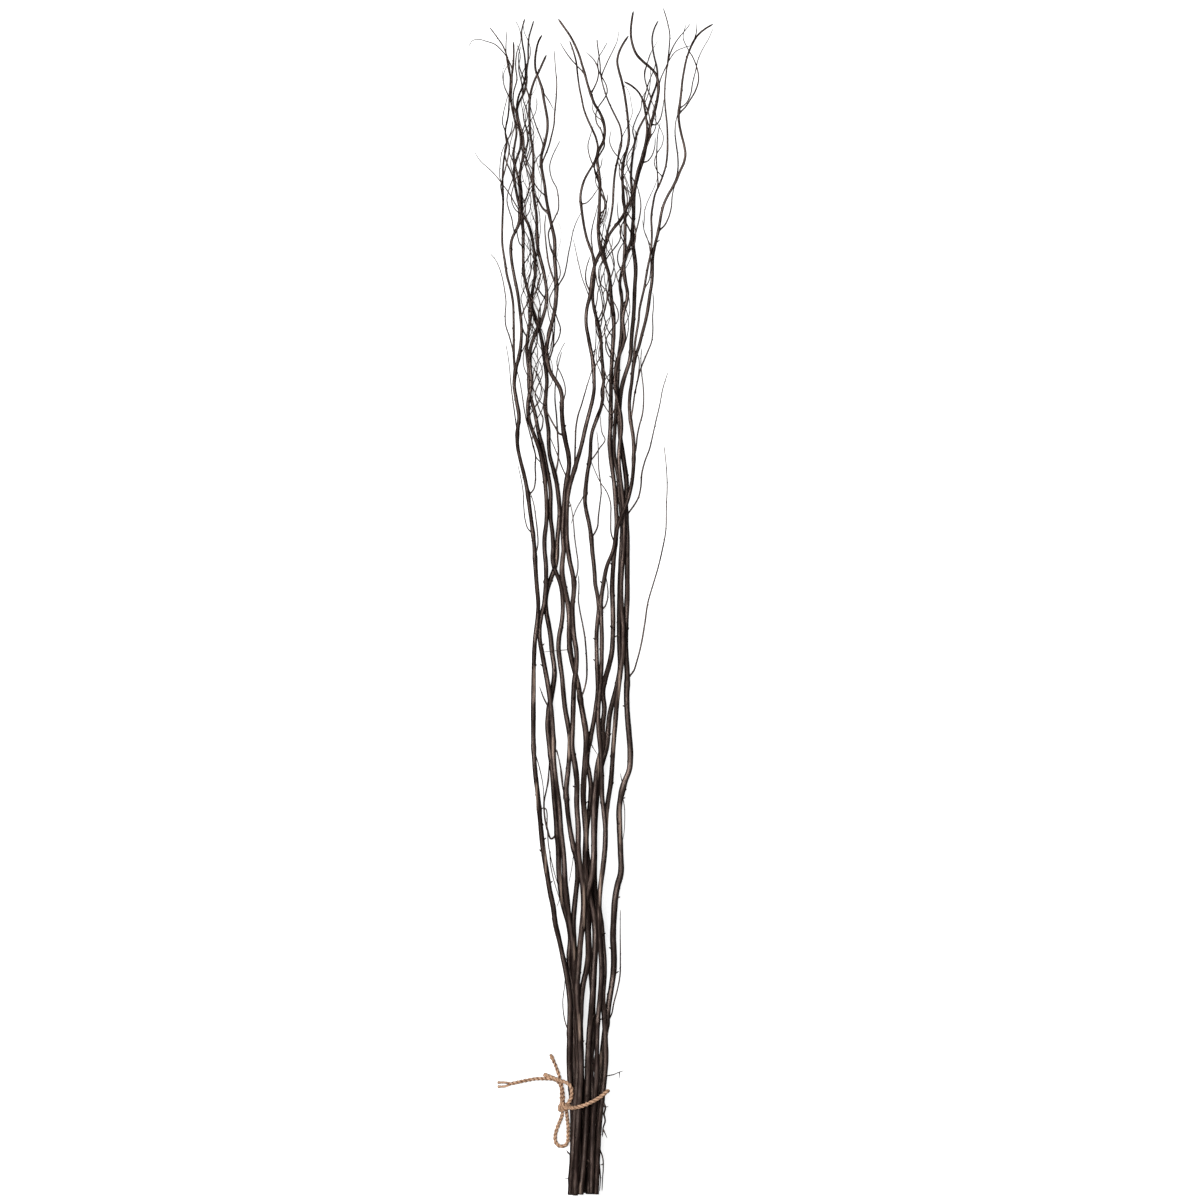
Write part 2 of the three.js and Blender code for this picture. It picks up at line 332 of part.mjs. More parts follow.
    twigs: [
      { thick: 0.9, route: [[-12.6, 766], [-8.5, 778], [-7.5, 791], [-9.5, 807], [-11.5, 822],
        [-13, 840], [-15, 856], [-19.5, 873]] },
      { thick: 1.2, route: [[-12, 908], [-11.3, 925], [-10.7, 944], [-10, 960], [-7.5, 975], [-3, 989],
        [0.5, 1001], [4, 1013], [8, 1026], [11.7, 1040]] },
      { thick: 0.8, route: [[11.3, 1041], [14.3, 1060], [15, 1076], [14.5, 1090]] },
      { thick: 0.7, route: [[7, 1122], [3, 1133], [-2, 1146], [-6, 1162], [-10, 1180], [-13.5, 1196]] },
      { thick: 1.0, route: [[8.3, 1130], [3.7, 1138], [2, 1150], [4, 1163], [8.3, 1175]] },
    ],
  },
  {
    name: "stem_11", butt: 3.4, tip: 1.4, spring: 44, curl: 4,
    route: [
      [15.5, 3.5], [17, 50], [19, 90], [22.3, 120], [25.3, 145], [27.3, 170], [27, 195],
      [25.3, 221], [23.5, 250], [25.3, 276], [25, 300], [23.3, 321], [21.7, 341], [18.9, 361],
      [19.8, 380], [22.3, 400], [24.9, 420], [26.5, 440], [27, 461], [28.2, 480], [30.3, 496],
      [33.3, 515], [35, 535], [36.5, 560], [38.7, 586], [40.7, 611], [43, 634], [46, 657],
      [48.3, 681], [49, 705], [47.5, 731], [46.5, 757], [47.7, 785], [49.7, 813], [50.3, 840],
      [49.3, 861], [47.3, 881], [45, 899], [43.7, 915], [43.8, 930], [45.3, 945], [46.7, 960],
      [46, 974], [43.3, 988], [40.5, 1001], [38.7, 1015], [39.3, 1029], [41, 1041],
      [44.5, 1052], [48, 1061], [50.5, 1071], [49.5, 1083], [48.3, 1095], [50, 1106],
      [53, 1116], [54.3, 1128], [52.3, 1139], [50.5, 1150], [50, 1161], [50.3, 1174],
      [51, 1190], [51.3, 1209], [51, 1228], [49.5, 1245], [48.3, 1262], [48, 1280], [50, 1294],
      [53.5, 1306], [56, 1320], [55.3, 1336], [54, 1351], [52, 1366], [49.7, 1380], [47, 1392],
      [43.7, 1404], [41.5, 1416], [44, 1428], [49.5, 1439], [55.5, 1448],
    ],
    twigs: [
      { thick: 1.0, route: [[50.4, 1148], [46, 1157], [42.3, 1167], [42.7, 1178], [46.3, 1186],
        [51, 1193]] },
      { thick: 0.8, route: [[48.3, 1285], [43.5, 1296], [37, 1304], [32, 1316], [34, 1331]] },
    ],
  },
  {
    name: "stem_08", butt: 3.2, tip: 1.2, spring: 30, curl: 4,
    route: [
      [9, 4], [10, 60], [12.3, 100], [14.3, 130], [16, 160], [16.3, 190], [17.3, 220],
      [20, 250], [21.7, 280], [20.7, 310], [19, 345], [20, 378], [23.3, 410], [26, 438],
      [26.5, 460], [24.7, 480], [22.7, 500], [22.3, 530], [20.3, 560], [18.2, 584],
      [17.7, 605], [19.5, 628], [21.3, 650], [22.2, 676], [22.3, 700], [21.7, 720],
      [21, 738], [22.3, 753], [24.7, 767], [27, 780], [30, 791], [34, 800], [37.3, 810],
      [39.5, 821], [41.3, 833], [44.3, 844], [49, 855], [53.7, 867], [57.3, 880], [60, 893],
      [61.5, 907], [62.2, 922], [62.2, 936], [61.3, 950], [59, 964], [57.2, 977],
      [56.7, 991], [57.7, 1004], [59.5, 1016], [60.7, 1029], [62.3, 1041], [65, 1051],
      [69, 1063], [72.3, 1076], [75.5, 1088], [78.3, 1100], [80.5, 1113], [82.3, 1126],
      [84.3, 1138], [85.5, 1151], [85.7, 1165], [86.5, 1178], [89.3, 1191], [92.3, 1203],
      [94.5, 1215], [96.7, 1228], [99.7, 1239], [104.7, 1250], [110.5, 1260], [115.7, 1270],
      [120.3, 1281], [124.7, 1291], [126.5, 1301], [125, 1312], [121.7, 1325], [119, 1338],
      [118, 1350], [119.7, 1364], [121.3, 1378], [122.7, 1392], [125, 1406], [128, 1420],
      [132.3, 1432], [137, 1442], [142.7, 1450], [151, 1457], [161, 1463],
    ],
    twigs: [
      { thick: 1.0, route: [[21.3, 733], [25.5, 736], [28.7, 743], [30, 753], [29, 765], [27, 777]] },
      { thick: 1.1, route: [[58, 969], [61, 985], [63, 1000], [66, 1015], [68.5, 1030], [69, 1043],
        [66, 1056]] },
      { thick: 1.0, route: [[62, 921], [65, 934], [66.3, 948], [69, 962], [73, 977], [74.5, 993],
        [74, 1011], [72, 1028], [71, 1044], [72, 1059]] },
      { thick: 1.0, route: [[63.3, 1003], [67, 1019], [71, 1034], [75.3, 1045], [80, 1056], [84.3, 1067],
        [86, 1081], [85.7, 1099], [87, 1114], [86, 1129]] },
      { thick: 1.5, route: [[62.3, 1042], [63, 1057], [64.3, 1070], [66.3, 1082], [68.3, 1094],
        [69.3, 1107], [72, 1120], [75, 1133], [77.3, 1147], [80, 1162], [83, 1177], [84.5, 1192],
        [84.7, 1206], [84, 1221], [86, 1238], [89, 1252], [94, 1263], [98, 1273], [102, 1286],
        [104, 1301], [104.3, 1318], [103.7, 1337], [102, 1354], [100.7, 1370], [101, 1386],
        [102.5, 1401], [104.5, 1417], [106.3, 1434], [107, 1450], [104, 1466], [99, 1483]] },
      { thick: 0.9, route: [[92.5, 1260], [91.7, 1276], [90.5, 1292], [91, 1309], [92, 1325],
        [95.3, 1341]] },
      { thick: 0.9, route: [[103.5, 1410], [107.5, 1426], [113, 1438], [120, 1448], [127, 1456],
        [133, 1464]] },
      { thick: 0.7, route: [[86.7, 1181], [81, 1192], [75.5, 1205], [73, 1220]] },
      { thick: 1.0, route: [[93, 1206], [100, 1212], [105, 1221], [109, 1235], [110.3, 1250],
        [114.5, 1267]] },
      { thick: 1.0, route: [[115.3, 1268], [117.3, 1283], [117, 1300], [115, 1315], [113.7, 1330],
        [115, 1344], [118.5, 1356]] },
      { thick: 1.0, route: [[118.3, 1352], [125, 1358], [132, 1368], [139, 1380], [143, 1394],
        [141, 1408], [136, 1421], [129, 1433], [123.7, 1446], [127, 1462]] },
      { thick: 0.8, route: [[119, 1358], [127, 1364], [133, 1376], [135.5, 1390], [139, 1404],
        [142, 1418], [148, 1432], [155.5, 1445], [161, 1458]] },
      { thick: 0.8, route: [[136.3, 1440], [140, 1452], [141, 1466]] },
    ],
  },
];

// The free ends of the twine, from the knot outwards, as the points that their axes follow.
const TWINE_ENDS = [
  {
    name: "twine_loop",
    route: [
      [-26.8, 104.3, 10], [-28, 98.5, 6.8], [-30.3, 92, 4.1], [-33, 85.5, 2.7], [-35.2, 78.5, 2.4],
      [-36.2, 71.5, 2.4], [-35, 65.2, 2.4], [-31.5, 61.4, 2.4], [-27, 60.8, 2.4], [-22.7, 62.6, 2.4],
      [-20.3, 67, 2.4], [-19.9, 73, 2.4], [-19.9, 80, 2.5], [-20, 86.5, 3.2], [-20.6, 92.5, 5],
      [-21.2, 98.5, 8], [-22, 104.3, 11.5],
    ],
  },
  {
    name: "twine_tail_long",
    route: [
      [-28.3, 117.3, 9], [-28.3, 122, 6.8], [-28.2, 128, 4.8], [-28.6, 134, 3.3], [-30.7, 139.5, 2.5],
      [-34.7, 143.2, 2.4], [-40, 144.8, 2.4], [-50, 145.3, 2.4], [-60, 145.2, 2.4], [-70, 143.7, 2.4],
      [-80, 141.5, 2.4], [-90, 139.4, 2.4], [-100, 138.2, 2.4], [-108.5, 138, 2.4],
    ],
  },
  {
    name: "twine_tail_up",
    route: [
      [-25.7, 117.7, 13.8], [-25.7, 123, 12.2], [-26.3, 129, 10.8], [-27.3, 135, 9.5], [-28.7, 141, 8.1],
      [-30.3, 147, 6.9], [-32.3, 153, 5.3], [-34.5, 159, 3.7], [-37, 165, 2.7], [-39.7, 171, 2.4],
      [-42, 176, 2.4],
    ],
  },
  {
    name: "twine_tail_short",
    route: [
      [-20.5, 115.5, 17.8], [-18, 119, 20.2], [-16, 123.3, 21.4], [-15.3, 129, 21.8], [-15.7, 134, 21.6],
      [-18, 138.7, 20.5], [-22, 141.6, 18], [-27, 143.2, 14.7], [-32, 144.5, 11], [-37, 146.2, 7.8],
      [-42, 148.2, 5.7], [-46.5, 149.6, 3.6], [-50.5, 150.6, 2.4],
    ],
  },
];

// How far up the bunch the pulled turn lies, from left to right.
const tieAt = (x) => 114.8 + 0.36 * x + 0.0075 * x * x;

function piece(name, geometry, material) {
  const mesh = new THREE.Mesh(geometry, material.clone());
  mesh.name = name;
  return mesh;
}

// A closed tube through rings of { x, y, z, r }, made by bending a cylinder along them.
function tube(rings, sides) {
  const last = rings.length - 1;
  const geometry = new THREE.CylinderGeometry(1, 1, 1, sides, last);
  const centres = rings.map((ring) => new THREE.Vector3(ring.x, ring.y, ring.z));
  const frames = framesAlong(centres);
  const place = geometry.getAttribute("position");
  for (let i = 0; i < place.count; i += 1) {
    const row = Math.round((0.5 - place.getY(i)) * last);
    const { across, up } = frames[row];
    const point = centres[row].clone();
    point.addScaledVector(across, place.getX(i) * rings[row].r);
    point.addScaledVector(up, place.getZ(i) * rings[row].r);
    place.setXYZ(i, point.x, point.y, point.z);
  }
  return geometry;
}

// Two directions across the line at each point, carried along without twisting.
function framesAlong(centres) {
  const frames = [];
  let up = new THREE.Vector3(0, 0, 1);
  centres.forEach((centre, i) => {
    const before = centres[Math.max(i - 1, 0)];
    const after = centres[Math.min(i + 1, centres.length - 1)];
    const along = after.clone().sub(before).normalize();
    up = up.clone().addScaledVector(along, -up.dot(along)).normalize();
    frames.push({ across: up.clone().cross(along), up });
  });
  return frames;
}

function solid(geometry) {
  geometry.deleteAttribute("normal");
  geometry.deleteAttribute("uv");
  const merged = mergeVertices(geometry, 1e-4);
  const mesh = new wasm.Mesh({
    numProp: 3,
    vertProperties: new Float32Array(merged.getAttribute("position").array),
    triVerts: new Uint32Array(merged.getIndex().array),
  });
  return new wasm.Manifold(mesh);
}

function geometryOf(manifold) {
  const mesh = manifold.getMesh();
  const geometry = new THREE.BufferGeometry();
  geometry.setAttribute("position", new THREE.BufferAttribute(mesh.vertProperties, 3));
  geometry.setIndex(new THREE.BufferAttribute(mesh.triVerts, 1));
  return geometry;
}

// Rings of a strand that thins from one radius to another.
function ringsOf(route, butt, tip) {
  const lengths = [0];
  for (let i = 1; i < route.length; i += 1) {
    const step = Math.hypot(route[i][0] - route[i - 1][0], route[i][1] - route[i - 1][1]);
    lengths.push(lengths[i - 1] + step);
  }
  const whole = lengths[lengths.length - 1];
  return route.map(([x, y], i) => {
    const s = lengths[i];
    return { x, y, z: 0, s, r: butt + (tip - butt) * (s / whole) ** TAPER };
  });
}

const between = (a, b, t) => ({
  x: a.x + (b.x - a.x) * t,
  y: a.y + (b.y - a.y) * t,
  z: a.z + (b.z - a.z) * t,
  r: a.r + (b.r - a.r) * t,
});

// The point of a segment that is nearest to a place, seen from above.
function nearestOn(segment, place) {
  const [a, b] = segment;
  const dx = b.x - a.x;
  const dy = b.y - a.y;
  const t = ((place.x - a.x) * dx + (place.y - a.y) * dy) / (dx * dx + dy * dy);
  const point = between(a, b, Math.min(Math.max(t, 0), 1));
  return { ...point, away: Math.hypot(point.x - place.x, point.y - place.y) };
}

// The lowest height at which a round of a strand clears all that lies under it.
function clearHeight(place, laid) {
  let height = place.r;
  for (const segment of laid) {
    if (Math.abs(segment[0].y - place.y) > 70) continue;
    const under = nearestOn(segment, place);
    const reach = under.r + place.r + GAP;
    if (under.away < reach) {
      height = Math.max(height, under.z + Math.sqrt(reach * reach - under.away * under.away));
    }
  }
  return height;
}

// Lays a strand over what is already there: each ring is lifted clear, then the strand is
// bridged stiffly from one support to the next.
function settle(rings, wish, laid) {
  const need = rings.map((ring) => Math.max(ring.r, wish(ring)));
  for (let i = 1; i < rings.length; i += 1) {
    const count = Math.ceil((rings[i].s - rings[i - 1].s) / WALK);
    for (let k = 0; k <= count; k += 1) {
      const height = clearHeight(between(rings[i - 1], rings[i], k / count), laid);
      need[i - 1] = Math.max(need[i - 1], height);
      need[i] = Math.max(need[i], height);
    }
  }
  const domed = rings.map((ring) =>
    Math.max(...rings.map((other, k) => need[k] - (other.s - ring.s) ** 2 / (2 * STIFF_RADIUS))),
  );
  const heights = [...domed];
  for (let pass = 0; pass < SETTLE_PASSES; pass += 1) {
    for (let i = 1; i < rings.length - 1; i += 1) {
      const t = (rings[i].s - rings[i - 1].s) / (rings[i + 1].s - rings[i - 1].s);
      const bridge = heights[i - 1] + (heights[i + 1] - heights[i - 1]) * t;
      heights[i] = Math.max(domed[i], bridge);
    }
  }
  rings.forEach((ring, i) => {
    ring.z = heights[i];
  });
}

const segmentsOf = (rings) => rings.slice(1).map((ring, i) => [rings[i], ring]);

// How far a stem springs up of itself at a ring.
function springAt(stem, ring) {
  const share = Math.max(0, (ring.y - SPREAD_FROM) / (SPREAD_TO - SPREAD_FROM));
  const wave = 0.5 - 0.5 * Math.cos((2 * Math.PI * ring.y) / CURL_LENGTH + stem.spring);
  return stem.spring * share ** 1.3 + stem.curl * Math.min(1, 3 * share) * wave;
}

// Starts a twig on the nearest point of its own stem.
function rootTwig(rings, strands) {
  const roots = strands.flatMap(segmentsOf).map((segment) => nearestOn(segment, rings[0]));
  const root = roots.reduce((best, next) => (next.away < best.away ? next : best));
  rings[0].x = root.x;
  rings[0].y = root.y;
  rings[0].r = Math.min(rings[0].r, root.r * 0.85);
  return root;
}

function layStem(stem, laid) {
  const trunk = ringsOf(stem.route, stem.butt, stem.tip);
  settle(trunk, (ring) => ring.r + springAt(stem, ring), laid);
  const strands = [trunk];
  for (const twig of stem.twigs) {
    const rings = ringsOf(twig.route, twig.thick, twig.thick * TWIG_TIP);
    const root = rootTwig(rings, strands);
    settle(rings, () => root.z, laid);
    const highest = root.z + root.r * 0.5;
    rings[0].z = Math.min(rings[0].z, highest);
    strands.push(rings);
  }
  return strands;
}

function stemGeometry(strands) {
  const [trunk, ...twigs] = strands;
  let body = solid(tube(trunk, STEM_SIDES));
  for (const twig of twigs) {
    body = body.add(solid(tube(twig, TWIG_SIDES)));
  }
  return geometryOf(body);
}

// A cord through points, as an extruded ring of flats.
function cord(points) {
  const curve = new THREE.CatmullRomCurve3(points);
  const corners = Array.from({ length: TWINE_SIDES }, (_, i) => {
    const angle = (2 * Math.PI * i) / TWINE_SIDES;
    return new THREE.Vector2(Math.cos(angle), Math.sin(angle)).multiplyScalar(TWINE / 2);
  });
  const steps = Math.round(curve.getLength() / TWINE_STEP);
  const options = { steps, bevelEnabled: false, extrudePath: curve };
  return new THREE.ExtrudeGeometry(new THREE.Shape(corners), options);
}

// The round of each stem where the pulled turn crosses it.
function roundsUnderTie(trunks) {
  return trunks.map((rings) => {
    const past = (ring) => ring.y - tieAt(ring.x);
    const [a, b] = segmentsOf(rings).find(([low, high]) => past(low) <= 0 && past(high) > 0);
    return between(a, b, past(a) / (past(a) - past(b)));
  });
}

// The pulled turn: from the knot, over the bunch, down its right side and back underneath.
function turnPoints(trunks) {
  const rounds = roundsUnderTie(trunks);
  const points = [new THREE.Vector3(KNOT.x, KNOT.y + 0.5, KNOT.z + 2.5)];
  for (let degrees = 150; degrees >= -150; degrees -= 12.5) {
    const angle = THREE.MathUtils.degToRad(degrees);
    const reach = (round) => round.x * Math.cos(angle) + round.z * Math.sin(angle) + round.r;
    const outer = rounds.reduce((best, next) => (reach(next) > reach(best) ? next : best));
    const away = outer.r * SLANT + FIT + TWINE / 2;
    const x = outer.x + away * Math.cos(angle);
    points.push(new THREE.Vector3(x, tieAt(x), outer.z + away * Math.sin(angle)));
  }
  points.push(new THREE.Vector3(KNOT.x, KNOT.y - 0.5, KNOT.z - 2.5));
  return points;
}

function wrapGeometry(trunks) {
  const knot = new THREE.SphereGeometry(0.5, 12, 8);
  knot.scale(KNOT.wide, KNOT.long, KNOT.high);
  knot.translate(KNOT.x, KNOT.y, KNOT.z);
  return geometryOf(solid(cord(turnPoints(trunks))).add(solid(knot)));
}

// The turn of twine that the stems lie on, as strands already laid.
function twineUnder() {
  const [left, right] = TIE_SPAN;
  const rings = [];
  for (let x = left; x <= right; x += 8) {
    rings.push({ x, y: tieAt(x), z: TWINE / 2, r: TWINE / 2 });
  }
  return segmentsOf(rings);
}

const bunch = new THREE.Group();
const laid = twineUnder();
const trunks = [];
for (const stem of STEMS) {
  const strands = layStem(stem, laid);
  trunks.push(strands[0]);
  laid.push(...strands.flatMap(segmentsOf));
  bunch.add(piece(stem.name, stemGeometry(strands), BARK));
}
bunch.add(piece("twine_wrap", wrapGeometry(trunks), JUTE));

// The origin is under the middle of the bunch, on the surface that it lies on.
const box = new THREE.Box3().setFromObject(bunch);
const middle = box.getCenter(new THREE.Vector3());
bunch.position.set(-middle.x, -middle.y, -box.min.z);

for (const end of TWINE_ENDS) {
  bunch.add(piece(end.name, cord(end.route.map((point) => new THREE.Vector3(...point))), JUTE));
}

export default bunch;
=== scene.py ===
import math
import random

import bpy
import numpy as np
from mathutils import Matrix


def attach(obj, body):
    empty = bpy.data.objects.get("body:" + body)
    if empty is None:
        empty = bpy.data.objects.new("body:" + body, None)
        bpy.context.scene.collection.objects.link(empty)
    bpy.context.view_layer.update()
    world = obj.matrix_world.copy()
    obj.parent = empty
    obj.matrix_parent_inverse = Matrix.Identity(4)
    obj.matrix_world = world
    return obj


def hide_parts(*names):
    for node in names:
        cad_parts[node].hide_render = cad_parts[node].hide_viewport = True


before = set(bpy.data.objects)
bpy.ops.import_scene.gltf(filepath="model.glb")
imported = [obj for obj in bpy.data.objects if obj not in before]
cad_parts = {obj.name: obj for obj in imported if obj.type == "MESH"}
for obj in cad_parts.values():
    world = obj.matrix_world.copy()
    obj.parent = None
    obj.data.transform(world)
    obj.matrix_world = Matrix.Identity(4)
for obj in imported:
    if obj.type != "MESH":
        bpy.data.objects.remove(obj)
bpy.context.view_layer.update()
bpy.ops.object.select_all(action="DESELECT")
bpy.context.scene.view_settings.view_transform = "Standard"

mm = 0.001
fullTurn = 2 * math.pi
# where the row's origin lies in the frame that the routes below are laid out in, in millimetres
originAt = np.array([8.6701, 742.4208, -0.3784])
body = "root"
weldAt = 1e-7  # points closer than this are welded into one


def inRow(points):
    return (np.asarray(points, float) - originAt) * mm


# camera: straight above the bunch, tips at the top; field is the width it sees, in metres
cameraPlan = {"lens": 200, "sensor": 36, "field": 1.5, "over": (20, 745, 20), "reach": 50}


def makeCamera(plan):
    bpy.ops.object.camera_add()
    camera = bpy.context.object
    camera.name = "camera"
    camera.data.lens = plan["lens"]
    camera.data.sensor_width = plan["sensor"]
    camera.data.clip_end = plan["reach"]
    height = plan["field"] * plan["lens"] / plan["sensor"]
    x, y, z = inRow(plan["over"])
    camera.location = (x, y, z + height)
    bpy.context.scene.camera = camera


makeCamera(cameraPlan)
print("camera placed")


# materials: each reads the strand's own grain and tone, so its pattern follows the strand
def shaderOf(name):
    material = bpy.data.materials.new(name)
    material.use_nodes = True
    tree = material.node_tree
    return material, tree, tree.nodes["Principled BSDF"]


def attributeOf(tree, name, output):
    source = tree.nodes.new("ShaderNodeAttribute")
    source.attribute_name = name
    return source.outputs[output]


# noise along the strand: a stretch under 1 draws it out, over 1 squeezes it
def grainNoise(tree, plan):
    scale, stretch, detail, roughness = plan
    mapping = tree.nodes.new("ShaderNodeMapping")
    mapping.inputs["Scale"].default_value = (1, 1, stretch)
    noise = tree.nodes.new("ShaderNodeTexNoise")
    noise.inputs["Scale"].default_value = scale
    noise.inputs["Detail"].default_value = detail
    noise.inputs["Roughness"].default_value = roughness
    tree.links.new(attributeOf(tree, "grain", "Vector"), mapping.inputs["Vector"])
    tree.links.new(mapping.outputs["Vector"], noise.inputs["Vector"])
    return noise.outputs["Fac"]


# stops: where each lies on the value, and its colour or grey level
def rampOf(tree, value, stops):
    ramp = tree.nodes.new("ShaderNodeValToRGB")
    elements = ramp.color_ramp.elements
    while len(elements) < len(stops):
        elements.new(0.5)
    for element, (at, colour) in zip(elements, stops):
        element.position = at
        element.color = (*colour, 1) if isinstance(colour, tuple) else (colour, colour, colour, 1)
    tree.links.new(value, ramp.inputs["Fac"])
    return ramp.outputs["Color"]


def mixOf(tree, blend, factor, first, second):
    mix = tree.nodes.new("ShaderNodeMix")
    mix.data_type = "RGBA"
    mix.blend_type = blend
    for name, value in (("Factor", factor), ("A", first), ("B", second)):
        target = [socket for socket in mix.inputs if socket.name == name and socket.enabled][0]
        if hasattr(value, "links"):
            tree.links.new(value, target)
        else:
            target.default_value = (*value, 1) if isinstance(value, tuple) else value
    return [socket for socket in mix.outputs if socket.enabled][0]


def multiplied(tree, first, second):
    return mixOf(tree, "MULTIPLY", 1, first, second)


# relief: strength, and depth in metres
def bumpOf(tree, height, relief, under=None):
    bump = tree.nodes.new("ShaderNodeBump")
    bump.inputs["Strength"].default_value, bump.inputs["Distance"].default_value = relief
    tree.links.new(height, bump.inputs["Height"])
    if under:
        tree.links.new(under, bump.inputs["Normal"])
    return bump.outputs["Normal"]


# the noises are scale, stretch, detail and roughness
barkPlan = {
    "streak": (1300, 0.045, 5, 0.6), "patch": (190, 0.11, 3, 0.55), "fine": (2600, 0.25, 3, 0.55),
    "lenticel": (420, 2.2, 2, 0.4), "polish": (38, 0.6, 2, 0.55), "sheen": (24, 0.8, 3, 0.6),
    "ground": [
        (0.3, (0.0036, 0.0020, 0.0017)), (0.46, (0.0100, 0.0058, 0.0050)), (0.68, (0.033, 0.0198, 0.0168))],
    # the second colour on this line is a painted highlight
    "worn": (0.175, 0.118, 0.097), "paintedHighlightColour": (0.36, 0.262, 0.205),
    "wornPatch": [(0.5, 0), (0.72, 0.75)], "wornStreak": [(0.42, 0.15), (0.62, 1)],
    # these two place the painted highlight, by tone and by streak
    "paintedHighlightTone": [(0.53, 0), (0.95, 1)], "paintedHighlightStreak": [(0.36, 0.25), (0.56, 1)],
    "dots": [(0.69, 0), (0.74, 0.55)], "shade": [(0, 0.55), (0.5, 1)],
    "smooth": [(0.38, 0.56), (0.6, 0.26)], "rough": [(0.3, 0.66), (0.65, 0.26)], "roughShare": 0.4,
    "fineRelief": (0.35, 0.0002), "streakRelief": (0.8, 0.0004),
    "gloss": [(0.42, 0.2), (0.62, 1)], "glow": (1.0, 0.76, 0.66, 1),
}


def makeBark(plan):
    material, tree, shader = shaderOf("willow_bark")
    streak, patch, fine, lenticel, polish, sheen = (
        grainNoise(tree, plan[name]) for name in ("streak", "patch", "fine", "lenticel", "polish", "sheen"))
    tone = attributeOf(tree, "tone", "Fac")
    worn = multiplied(tree, rampOf(tree, patch, plan["wornPatch"]), rampOf(tree, streak, plan["wornStreak"]))
    colour = mixOf(tree, "MIX", worn, rampOf(tree, streak, plan["ground"]), plan["worn"])
    colour = mixOf(tree, "MIX", rampOf(tree, lenticel, plan["dots"]), colour, plan["worn"])
    colour = multiplied(tree, colour, rampOf(tree, tone, plan["shade"]))
    # painted highlight: pale streaks where the tone is over a half
    paintedHighlightShare = multiplied(tree, rampOf(tree, tone, plan["paintedHighlightTone"]), rampOf(tree, streak, plan["paintedHighlightStreak"]))
    tree.links.new(mixOf(tree, "MIX", paintedHighlightShare, colour, plan["paintedHighlightColour"]), shader.inputs["Base Color"])
    smooth, rough = rampOf(tree, polish, plan["smooth"]), rampOf(tree, streak, plan["rough"])
    tree.links.new(mixOf(tree, "MIX", plan["roughShare"], smooth, rough), shader.inputs["Roughness"])
    normal = bumpOf(tree, streak, plan["streakRelief"], bumpOf(tree, fine, plan["fineRelief"]))
    tree.links.new(normal, shader.inputs["Normal"])
    tree.links.new(rampOf(tree, sheen, plan["gloss"]), shader.inputs["Specular IOR Level"])
    shader.inputs["Specular Tint"].default_value = plan["glow"]
    return material


cutPlan = {
    "fibre": (2200, 0.2, 3, 0.55), "mottle": (500, 1, 2, 0.55),
    "ground": [(0.35, (0.27, 0.17, 0.09)), (0.6, (0.42, 0.29, 0.17))],
    "pith": (0.12, 0.07, 0.04), "spots": [(0.55, 0), (0.75, 0.7)], "rough": 0.85, "relief": (0.5, 0.0002),
}


def makeCutWood(plan):
    material, tree, shader = shaderOf("willow_cut_wood")
    fibre, mottle = grainNoise(tree, plan["fibre"]), grainNoise(tree, plan["mottle"])
    spots = rampOf(tree, mottle, plan["spots"])
    colour = mixOf(tree, "MIX", spots, rampOf(tree, fibre, plan["ground"]), plan["pith"])
    tree.links.new(colour, shader.inputs["Base Color"])
    shader.inputs["Roughness"].default_value = plan["rough"]
    tree.links.new(bumpOf(tree, fibre, plan["relief"]), shader.inputs["Normal"])
    return material


jutePlan = {
    "strand": (4200, 0.06, 4, 0.65), "batch": (420, 0.5, 2, 0.55),
    "ground": [(0.28, (0.24, 0.108, 0.050)), (0.48, (0.56, 0.335, 0.205)), (0.72, (0.86, 0.60, 0.43))],
    # the second ramp on this line is painted shade between the plies
    "tint": [(0.32, 0.66), (0.68, 1.12)], "paintedValleyShade": [(0, (0.17, 0.080, 0.042)), (0.42, 1)],
    "rough": 0.86, "gloss": 0.3, "relief": (0.8, 0.0003),
}


def makeJute(plan):
    material, tree, shader = shaderOf("jute_twine")
    strand, batch = grainNoise(tree, plan["strand"]), grainNoise(tree, plan["batch"])
    colour = multiplied(tree, rampOf(tree, strand, plan["ground"]), rampOf(tree, batch, plan["tint"]))
    # painted shade in the grooves between the two plies, read from the tone
    paintedValleyShade = rampOf(tree, attributeOf(tree, "tone", "Fac"), plan["paintedValleyShade"])
    tree.links.new(multiplied(tree, colour, paintedValleyShade), shader.inputs["Base Color"])
    shader.inputs["Roughness"].default_value = plan["rough"]
    shader.inputs["Specular IOR Level"].default_value = plan["gloss"]
    tree.links.new(bumpOf(tree, strand, plan["relief"]), shader.inputs["Normal"])
    return material


bark = makeBark(barkPlan)
cutWood = makeCutWood(cutPlan)
jute = makeJute(jutePlan)
print("materials made")


# a smooth line through points, each point's slope shared between the stretches on its two sides
def smoothLine(points, step):
    points = np.asarray(points, float)
    chord = np.linalg.norm(np.diff(points[:, :3], axis=0), axis=1)
    at = np.concatenate([[0], np.cumsum(chord)])
    slope = np.diff(points, axis=0) / chord[:, None]
    before, after = chord[:-1, None], chord[1:, None]
    shared = (slope[:-1] * after + slope[1:] * before) / (before + after)
    tangent = np.vstack([slope[:1], shared, slope[-1:]])
    where = np.linspace(0, at[-1], max(4, round(at[-1] / step) + 1))
    i = np.clip(np.searchsorted(at, where, side="right") - 1, 0, len(chord) - 1)
    h = chord[i][:, None]
    t = ((where - at[i]) / chord[i])[:, None]
    return (
        (2 * t**3 - 3 * t**2 + 1) * points[i] + (t**3 - 2 * t**2 + t) * h * tangent[i]
        + (3 * t**2 - 2 * t**3) * points[i + 1] + (t**3 - t**2) * h * tangent[i + 1]
    )


def lengthsOf(centres):
    return np.concatenate([[0], np.cumsum(np.linalg.norm(np.diff(centres, axis=0), axis=1))])


